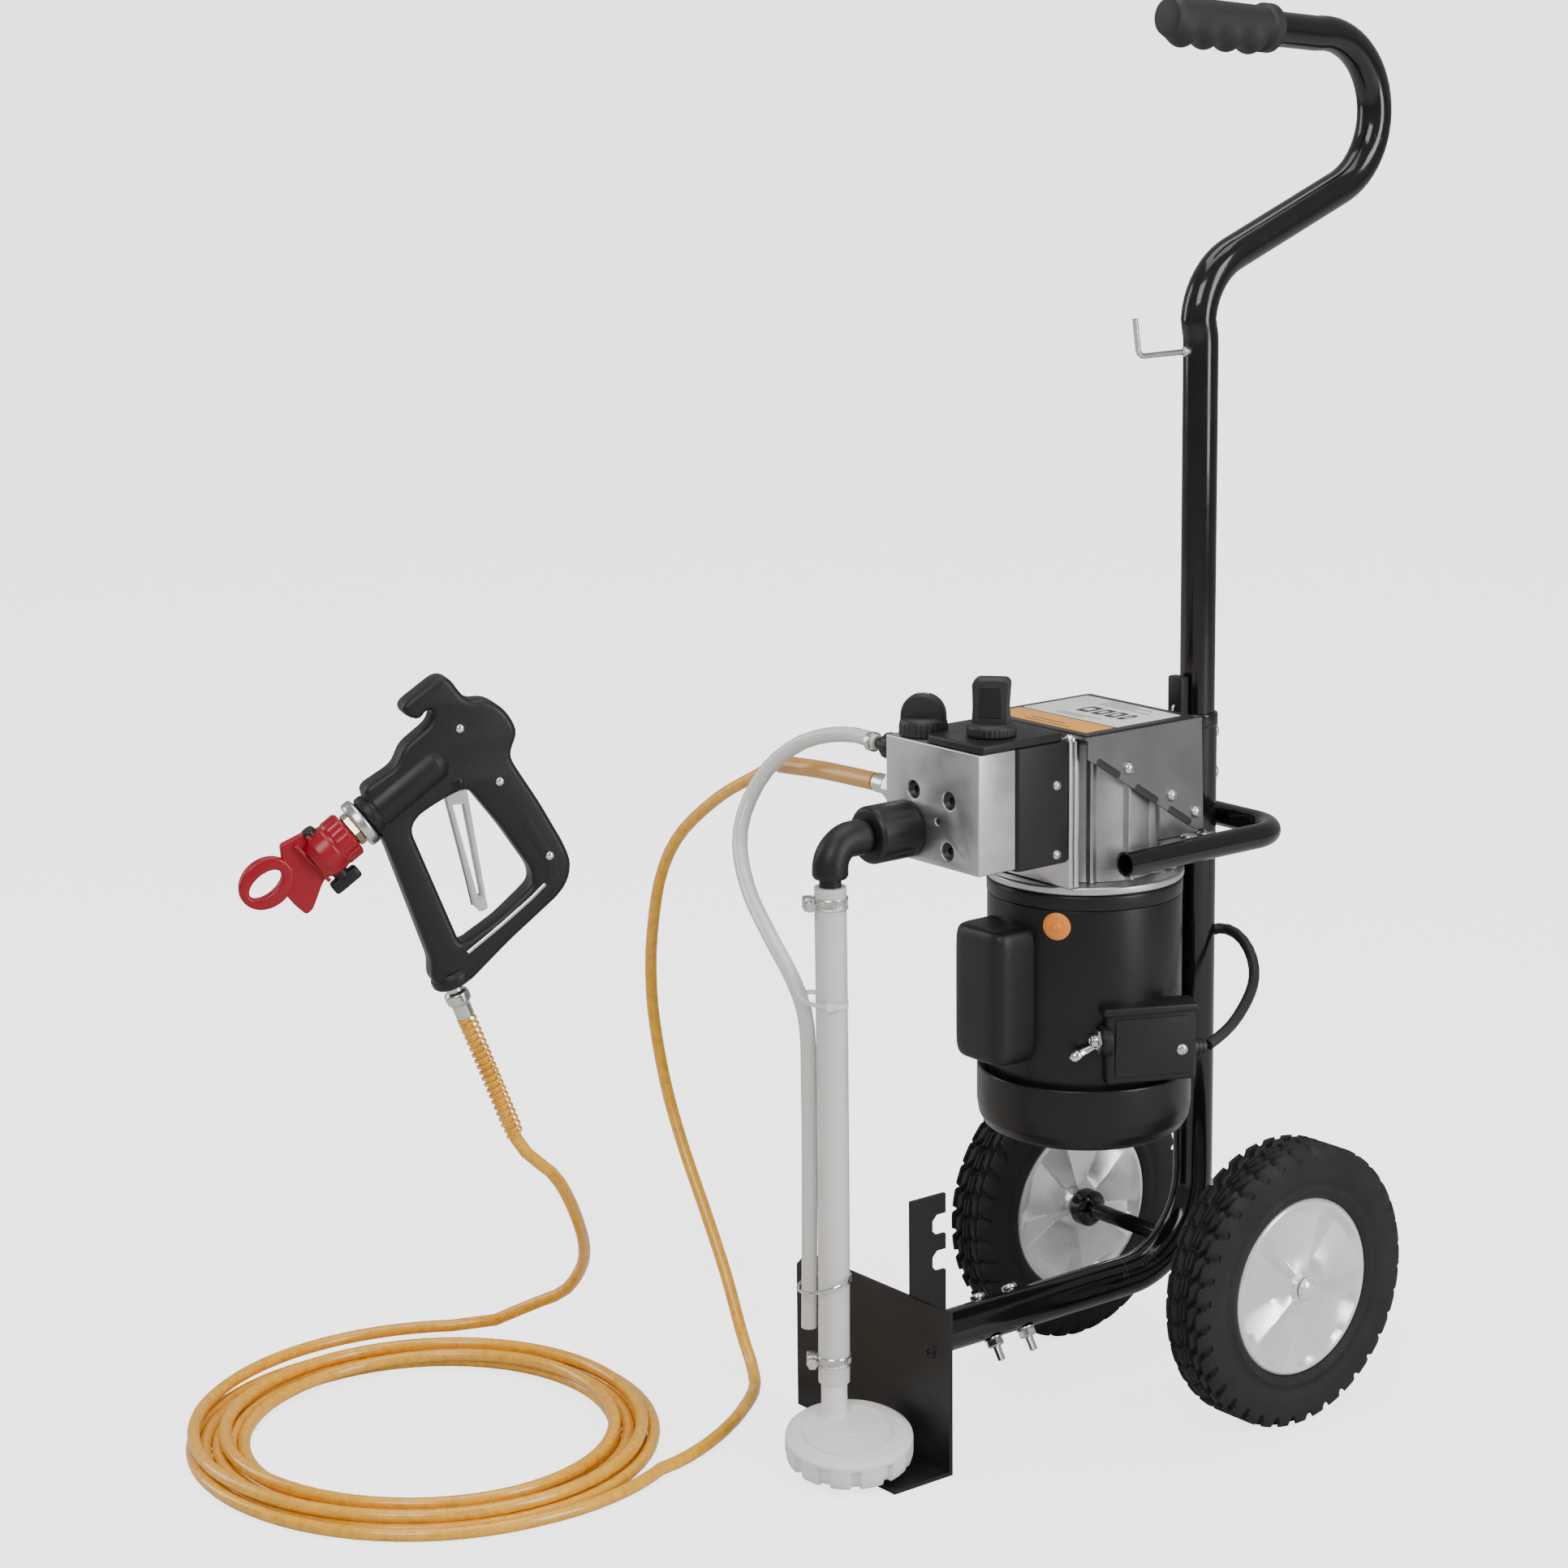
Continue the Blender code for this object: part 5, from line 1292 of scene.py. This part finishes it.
def flutes(count, depth, upper):
    """r - depth (0.5 + 0.5 cos(count a))^3 on the skirt below a height."""
    def swell(r, z, a):
        """Grooves below `upper`, where the skirt is wider than its hub."""
        groove = (0.5 + 0.5 * np.cos(count * a)) ** 3
        return r - depth * groove * ((r > 12) & (z < upper)), z
    return swell


turned("prime_skirt", soften([(0, 12.5), (13, 12.5), (16, 10.5), (16.9, 7), (17, 0.2), (0, 0.2)],
                             1.2),
       "prime_knob", KNOB, PRIME, steps=192, ring=False, swell=flutes(24, 0.7, 9),
       stands_for="prime_knob", slot="black_plastic")
turn = rotated(math.radians(-52))
a = np.radians(np.linspace(0, 180, 25))
dome = np.stack([15.6 * np.cos(a), 11 + 17.6 * np.sin(a) ** 0.8], 1)
dome = np.vstack([dome, [-15.6, 8], [15.6, 8]])
slab("prime_bar", dome, 11, "prime_knob", KNOB, PRIME,
     np.array([turn[1], [0, 0, 1], turn[0]]), edge=2.2)
slab("prime_pointer", corner_square(0.7, 4.5, 0.6), 1.0, "prime_knob", PAPER_WHITE,
     PRIME + [0, 0, 28.4],
     rotated(math.radians(-52)), edge=0.2)
turned("dial_skirt", soften([(0, 9), (14, 9), (16.6, 7), (17, 5), (17, 0.2), (0, 0.2)], 1.0),
       "pressure_knob", KNOB, DIAL, steps=192, ring=False, swell=flutes(30, 0.6, 6),
       stands_for="pressure_knob", slot="black_plastic")
turn = rotated(math.radians(-48))
shape = [(-13.2, 5), (13.2, 5), (12.2, 20), (13.4, 37), (11, 39.8), (-9, 39.8), (-12.8, 36),
         (-12.4, 20)]
slab("dial_bar", soften(shape, 2, True), 12, "pressure_knob", KNOB, DIAL,
     np.array([turn[1], [0, 0, 1], turn[0]]), edge=2.4)
# The bar's hollow is painted shade: a slightly darker plastic patch on both faces, 0.25 mm proud,
# and nothing is sunk.
slab("dial_hollow_shade", soften([(-8, 12), (8, 12), (7.4, 34), (-7.4, 34)], 2, True), 12.5,
     "pressure_knob",
     PLASTIC, DIAL, np.array([turn[1], [0, 0, 1], turn[0]]), edge=0.6)
print("knobs made")

# %% [markdown]
# ## Suction fittings
# The swivel nut is fluted, the elbow is a swept tube with a thicker sleeve, and the strainer is
# a shallow disc with notches round its rim.

# %% Nut, elbow and clamps
def nut_flutes(r, z, a):
    """Eight broad flutes in the nut's barrel: r - 1.1 (0.5 + 0.5 cos 8a)^2."""
    return r - 1.1 * (0.5 + 0.5 * np.cos(8 * a)) ** 2 * ((r > 18.5) & (z > 8) & (z < 37)), z


nut_profile = [(8, 1), (8.6, 1), (8.6, 5), (19, 5), (20, 7), (20, 20), (20, 38), (17.6, 41),
               (8, 41)]
turned("swivel_nut", soften(nut_profile, 0.8, True), "sprayer", PLASTIC, (-26, -224.5, 440),
       (0, -1, 0),
       160, ring=True, swell=nut_flutes, stands_for="suction_nut", slot="black_plastic")
bend = [(-26, -279 + 18 * math.cos(t), 422 + 18 * math.sin(t))
        for t in np.radians(np.linspace(90, 180, 19))]
elbow_line = evenly(np.array([(-26, -246, 440), *bend, (-26, -297, 409.2)]), 2.5)
swept("elbow_core", elbow_line, 7.6, "sprayer", PLASTIC, 32)
sleeve_line = evenly(np.array([(-26, -267.6, 440), *bend, (-26, -297, 416)]), 2)
along = np.linspace(0, 1, len(sleeve_line))
thick = 12.4 - 0.5 * np.exp(-((along - 0.5) / 0.22) ** 2)
thick = thick - 1.2 * (along < 0.01) - 1.2 * (along > 0.985)
swept("elbow_sleeve", sleeve_line, thick, "sprayer", PLASTIC, 48, "suction_elbow")


def worm_clamp(name, at, radius, direction=(0, 0, 1), toward=(0, -1, 0), width=8.0):
    """A steel band with rolled edges, a row of slots, and the screw housing standing on it."""
    half = width / 2
    band = [(radius + 0.1, -half), (radius + 0.9, -half), (radius + 1.3, -half + 0.7),
            (radius + 0.9, -half + 1.4), (radius + 0.9, half - 1.4), (radius + 1.3, half - 0.7),
            (radius + 0.9, half), (radius + 0.1, half)]

    def slots(r, z, a):
        """Sinks 0.35 mm in 46 short slots between the rolled edges."""
        cut = (np.mod(a * 46 / math.tau, 1) < 0.4) & (np.abs(z) < half - 1)
        return np.where(cut & (r > radius + 0.5), r - 0.35, r), z
    turned(name, band, "sprayer", ZINC, at, direction, 276, ring=True, swell=slots)
    u = np.array(toward, float)
    w = np.array(direction, float)
    side = np.cross(w, u)
    seat = np.array(at) + u * (radius + 4.2)
    slab(name + "_housing", corner_square(6, half + 0.6, 1.8), 7, "sprayer", ZINC, seat,
         np.array([side, w, np.cross(side, w)]), edge=1.2)
    hex_prism(name + "_screw", 7, 5.4, 12, "sprayer", ZINC, seat, side)


worm_clamp("upper_clamp", (-26, -297, 399), 11, toward=(-0.5, -0.866, 0))
worm_clamp("lower_clamp", (-26, -297, 76), 11, toward=(-0.6, -0.8, 0), width=7)


def cable_tie(name, centre, radii, shade, width=3.2, toward=(0.8, -0.6, 0)):
    """A flat strap that goes round both tubes: an oval ring with a rectangular lock block."""
    t = np.linspace(0, math.tau, 72, endpoint=False)
    ring = np.stack([radii[0] * np.cos(t), radii[1] * np.sin(t), 0 * t], 1)
    out = ring * (1 + 1.3 / np.array([radii[0], radii[0], 1]))
    up = np.array([0, 0, width / 2])
    rows = np.stack([ring - up, out - up, out + up, ring + up]) + np.array(centre, float)
    mesh = grid_mesh(name, rows, wrap_rows=True, wrap_columns=True)
    show(name, mesh, "sprayer", shade)
    d = np.array(toward) / np.linalg.norm(toward)
    spot = np.array(centre) + d * (np.array([*radii, 0]) + 1.6)
    slab(name + "_lock", corner_square(3, 2.4, 0.6), 4.2, "sprayer", shade, spot,
         np.array([np.cross([0, 0, 1], d), [0, 0, 1], d]) * [[1], [1], [1]], edge=0.5)


cable_tie("tube_tie", (-33.5, -298.5, 330), (21.5, 12.6), TIE_WHITE)
loop_t = np.linspace(0, math.tau * 1.15, 120)
wire_ring = np.stack([-34 + 22.5 * np.cos(loop_t), -299 + 14.0 * np.sin(loop_t),
                      128 + 7 * np.sin(loop_t + 0.8) + 2.2 * loop_t / math.tau], 1)
swept("tube_wire_clip", wire_ring, 1.2, "sprayer", CHROME, 10)
print("nut, elbow, clamps and ties made")

# %% Strainer and barbs
seat_axes = np.array(Euler((math.radians(6), math.radians(8), 0)).to_matrix()).T
disc_at = np.array([-26, -297, 59.6]) + [22, -5, -36.5]


def notches(r, z, a):
    """Twelve slots cut into the lower half of the rim, and a shallow step on top."""
    slot = np.mod(a * 12 / math.tau, 1) < 0.3
    return np.where(slot & (r > 41) & (z < 4), r - 3.6, r), z


disc = [(0, 10), (14, 10), (38.6, 9.6), (41, 8.8), (43.6, 7), (44, 5.2), (44, 4.9), (44, 1),
        (44, -2),
        (44, -5), (43, -8.8), (42, -10), (0, -10)]
disc_piece = turned("strainer_disc", disc, "sprayer", OFF_WHITE, disc_at, tuple(seat_axes[2]), 240,
                    ring=False,
       swell=notches, stands_for="strainer", slot="strainer_plastic")
turned("strainer_rib", soften([(30, 9.4), (32, 9.4), (32, 10.7), (30, 10.7)], 0.4, True), "sprayer",
       OFF_WHITE, disc_at, tuple(seat_axes[2]), 96, ring=True)
nipple = [(0, 0), (8.6, 0), (9, -1), (9, -21), (12, -25.5), (12.4, -27), (12.4, -33), (0, -33)]
nipple_piece = turned("strainer_nipple", soften(nipple, 0.8), "sprayer", OFF_WHITE,
                      (-26, -297, 59.6),
                      (0, 0, 1), 48, ring=False)
turned("strainer_gate", [(0, 1.2), (6, 1.0), (7, 0), (7, -2), (0, -2)], "sprayer", OFF_WHITE,
       disc_at + 10 * seat_axes[2], tuple(seat_axes[2]), 36)
barb = [(0, 0), (4, 0), (5, -6), (5, -9.6), (8.8, -10), (9.5, -10.8), (9.5, -19.2), (8.8, -20),
        (6.5, -20.4), (6.5, -27), (0, -27)]
barb_piece = turned("return_fitting", barb, "sprayer", PLASTIC, (-75.3, -213, 489), (-1, 0, 0), 48,
                    ring=False, stands_for="return_barb", slot="black_plastic",
                    swell=lambda r, z, a: (r - 0.6 * (0.5 + 0.5 * np.cos(12 * a)) ** 3 * (r > 9),
                                           z))
turned("return_band", soften([(5.7, 4), (6.9, 4), (6.9, 9), (5.7, 9)], 0.4, True), "sprayer", ZINC,
       (-75.3, -213, 489), (-1, 0, 0), 40, ring=True)
ferrule = [(0, 30.1), (6, 30.1), (7, 28), (7, 16.4), (8.2, 16), (9.5, 14), (9.5, 4), (8.6, 3.2),
           (7, 3), (7, 0), (0, 0)]
turned("hose_outlet", soften(ferrule, 0.5), "sprayer", ZINC, (-48.3, -213, 461), (-1, 0, 0), 48,
       ring=False, stands_for="hose_fitting", slot="zinc")
hex_prism("hose_outlet_nut", 19.5, 5, 13, "sprayer", ZINC, (-48.3, -213, 461), (-1, 0, 0))
print("strainer and barbs made")

# %% [markdown]
# ## Spray gun
# The grip is one moulded plate with generous rims; the barrel and the fluid fittings are lathe
# surfaces along the barrel's axis. The guard turns round that axis and the reversible tip turns
# across it.

# %% Gun body and barrel
GUN_SIDE = np.array([GUN[0], GUN[2], -GUN[1]])
grip = [(-3, 220), (-29, 202), (-28, 195), (-17, 190), (-12, 197), (-7, 197), (-9, 188), (-29, 173),
        (-34, 160), (-58, 146), (-46, 112), (-43, 108), (-13, 21), (-14, 9), (-8, 3), (12, 3),
        (43, 31), (79, 60), (86, 70), (88, 83), (83, 96),
        (66, 127), (48, 156), (46, 163), (52, 177),
        (47, 188), (40, 196), (30, 202), (19, 201), (12, 207), (5, 218)]
window = [(-25, 115), (-20, 124), (-8, 131), (4, 137), (16, 141), (38, 112), (59, 80), (60, 71),
          (56, 66), (35, 48), (8, 31)]
body = slab("gun_grip", soften(grip, 6, True), 22, "sprayer", PLASTIC, gun_point(0, 0, 0), GUN_SIDE,
            [soften(window, 6, True)], 4.5, "gun_body", "black_plastic")
BARREL = np.array([[-0.588, 0, 0.809], [0, 1, 0], [-0.809, 0, -0.588]]) @ GUN
MUZZLE = gun_point(-54, 0, 124)


def on_barrel(name, profile, body, shade, steps=64, **links):
    """A lathe piece on the barrel's axis, counted forward from its front face."""
    return turned(name, soften(profile, 0.6), body, shade, MUZZLE, tuple(BARREL[2]), steps, **links)


barrel = [(0, 0), (13.4, 0), (15, -1.6), (15, -6), (14.2, -6.6), (14.2, -9), (15, -9.6), (15, -60),
          (12, -66), (0, -66)]
on_barrel("gun_barrel", barrel, "sprayer", PLASTIC, ring=False)
fluid = [(0, 30), (8.4, 30), (9, 29), (9, 17), (0, 17)]
on_barrel("gun_fluid_nozzle", fluid, "sprayer", ZINC, ring=False, stands_for="gun_nozzle",
          slot="zinc")
on_barrel("gun_ring", [(6, 0.4), (14, 0.4), (17, 1.4), (17.6, 2.6), (17.6, 7.2), (16.6, 8.6),
                       (6, 8.6)],
          "sprayer", ZINC, 72, ring=True)
BRASS = shade_of("pale brass", (0.72, 0.6, 0.4), (0.2, 0.32), 1.0, grain=500, bump=0.06)
hex_prism("gun_nut", 22, 8.4, 14, "sprayer", BRASS, MUZZLE, tuple(BARREL[2]))
turned("gun_heel_ring", soften([(5, -4.6), (12.4, -4.6), (14.6, -2), (14.8, 2.6), (13, 6.4),
                                (5, 6.4)], 0.8, True),
       "sprayer", PLASTIC, gun_point(3, 0, 6.4), tuple(-hose_down), 48, ring=True)
for k, (x, z) in enumerate(((10.6, 183), (37.6, 144), (71.9, 88.8))):
    pan_screw("gun_screw_%d" % k, 3.2, 1.8, "sprayer", CHROME, gun_point(x, -10.8, z),
              tuple(-GUN[1]))
    pan_screw("gun_screw_back_%d" % k, 3.2, 1.8, "sprayer", CHROME, gun_point(x, 10.8, z),
              tuple(GUN[1]))
pan_screw("gun_pivot", 4.4, 1.6, "sprayer", SHEET_BLACK, gun_point(8, -10.8, 145), tuple(-GUN[1]))
inlay = [(-4, 12), (10, 10), (40, 36), (74, 64), (80, 74), (76, 88), (58, 118), (52, 112), (69, 84),
         (70, 75), (63, 66), (36, 42), (8, 22)]
slab("gun_panel", soften(inlay, 4, True), 22.8, "sprayer", PLASTIC, gun_point(0, 0, 0), GUN_SIDE,
     (),
     0.6)
guide = evenly(np.array([gun_point(x, -10.4, z)
                         for x, z in ((12, 26), (36, 43), (58, 60), (68, 69))]), 3)
swept("gun_guard_rod", guide, 1.7, "sprayer", CHROME, 12)
print("gun body at", GUN_AT)

# %% Swivel, trigger and guard
swivel = [(0, 26), (6.5, 26), (6.5, 16.4), (8.4, 14), (8.6, 13), (8.6, 8), (8.2, 7), (6, 5.4),
          (6, 0.4), (0, 0.4)]
swivel_piece = turned("hose_swivel", soften(swivel, 0.5), "sprayer", ZINC, hose_start,
                      tuple(hose_down),
                      48, ring=False, stands_for="gun_swivel", slot="zinc")
hex_prism("hose_swivel_nut", 16.4, 7.4, 13.4, "sprayer", ZINC, hose_start, tuple(hose_down))
lever = [(-5, 3), (5, 3), (8, -6), (20, -86), (21, -91), (15, -93), (11, -88), (-6, -14), (-7, -4)]
lever = soften(lever, 2.4, True)
channel = soften([(-2.4, -16), (5.6, -16), (16.8, -82), (13.8, -82)], 1.2, True)
for k, y in enumerate((-3.9, 3.9)):
    slab("trigger_plate_%d" % k, lever, 2.0, "trigger", ZINC, gun_point(8, y, 145), GUN_SIDE,
         [channel], 0.6,
         "trigger" if k == 0 else (), "zinc" if k == 0 else None)
front = smooth_path([gun_point(8 + x, 0, 145 + z)
                     for x, z in ((-5.4, -10), (-1, -28), (5, -55), (12, -88))], 4)
swept("trigger_web", front, 2.2, "trigger", ZINC, 16)
collar = [(13, 46), (15, 43), (17, 40), (17, 30), (16.4, 29), (16.4, 27), (17, 26), (17, 16),
          (15, 14.4),
          (11.2, 14.4), (11.2, 30.4), (4, 30.4), (4, 46)]
on_barrel("guard_collar", collar, "tip_guard", RED, 96, ring=True, stands_for="tip_guard",
          slot="red_plastic",
          swell=lambda r, z, a: (
              r - 1.0 * (0.5 + 0.5 * np.cos(14 * a)) ** 3 * ((r > 16) & (z < 26)), z))
ALONG = np.array([BARREL[2], BARREL[0], BARREL[1]])
t = np.linspace(0, math.tau, 64, endpoint=False)
ring_out = np.stack([79 + 20 * np.cos(t), 10 + 17 * np.sin(t)], 1)
ring_in = np.stack([80 + 13 * np.cos(t[::2]), 10 + 7 * np.sin(t[::2])], 1)
slab("guard_loop", ring_out, 8, "tip_guard", RED, MUZZLE, ALONG, [ring_in], 2.2)
wing = [(31, 9), (35, 20), (56, 25), (74, -6), (74, -14), (72, -25), (66, -25), (50, -15), (31, -9)]
slab("guard_wing", soften(wing, 2.5, True), 7, "tip_guard", RED, MUZZLE, ALONG, (), 1.6)
for k, (low, high) in enumerate(((34, 37), (44, 47))):
    fin = [(low, -16), (high, -16), (high + 3, 19), (low + 3, 19)]
    slab("guard_fin_%d" % k, soften(fin, 1, True), 15, "tip_guard", RED, MUZZLE, ALONG, (), 1.0)
TIP_AT = MUZZLE + 36.4 * BARREL[2]
tip_profile = [(0, -22), (4.6, -22), (5.5, -21), (5.5, 19.6), (4.6, 21), (0, 21)]
turned("tip_barrel", soften(tip_profile, 0.5), "spray_tip", PLASTIC, TIP_AT, tuple(BARREL[0]), 48,
       ring=False, stands_for="spray_tip", slot="black_plastic")
flag = np.array([BARREL[2], -BARREL[1], -BARREL[0]])
bulb = [(-11, -3.6), (-8, -4.4), (8, -4.4), (11, -3.6), (11, 3.6), (8, 4.4), (-8, 4.4), (-11, 3.6)]
slab("tip_handle", soften(bulb, 1.6, True), 9.4, "spray_tip", PLASTIC, TIP_AT - 24.2 * BARREL[0],
     flag,
     (), 2.4)
print("gun finished")

# %% [markdown]
# ## Mains plug
# A moulded plug with a tapered neck, two flat blades and a round earth pin.

# %% Plug
PLUG_AT = np.array([-99.6, 202.7, 10.6])
PLUG = rotated(math.radians(194))


def on_plug(x, y, z):
    """A point of the plug's own frame: X towards its blades, Z up."""
    return PLUG_AT + np.array([x, y, z]) @ PLUG


plug = slab("plug_body", corner_square(13.5, 11, 4), 20, "sprayer", LEAD, on_plug(23.5, 0, 0),
            PLUG, (),
            3, "power_plug", "rubber")
neck_z = np.linspace(0, 24, 60)
neck_r = 5 + 2 * neck_z / 24 - 0.8 * (np.mod(neck_z, 4) < 1.4) * (neck_z > 1) * (neck_z < 20)
turned("plug_neck", np.vstack([[0, 0], np.stack([neck_r, neck_z], 1), [0, 24]]), "sprayer", LEAD,
       on_plug(-0.2, 0, 0), tuple(PLUG[0]), 40, ring=False)
turned("plug_face", [(0, 37.4), (9.4, 37.4), (9.8, 36.8), (9.8, 34), (0, 34)], "sprayer", LEAD,
       on_plug(0, 0, 0), tuple(PLUG[0]), 40, ring=False)
blade_outline = corner_square(10.5, 3.2, 0.6)
for side_ in (-6.3, 6.3):
    slab("plug_blade_%d" % side_, blade_outline, 1.6, "sprayer", BRASS, on_plug(43.5, side_, 0),
         np.array([PLUG[0], PLUG[2], -PLUG[1]]), (), 0.3)
turned("plug_earth", [(0, 57), (1.4, 57), (2.4, 55), (2.4, 34), (0, 34)], "sprayer", BRASS,
       on_plug(0, 0, -6.6), tuple(PLUG[0]), 24, ring=False)
print("plug made")
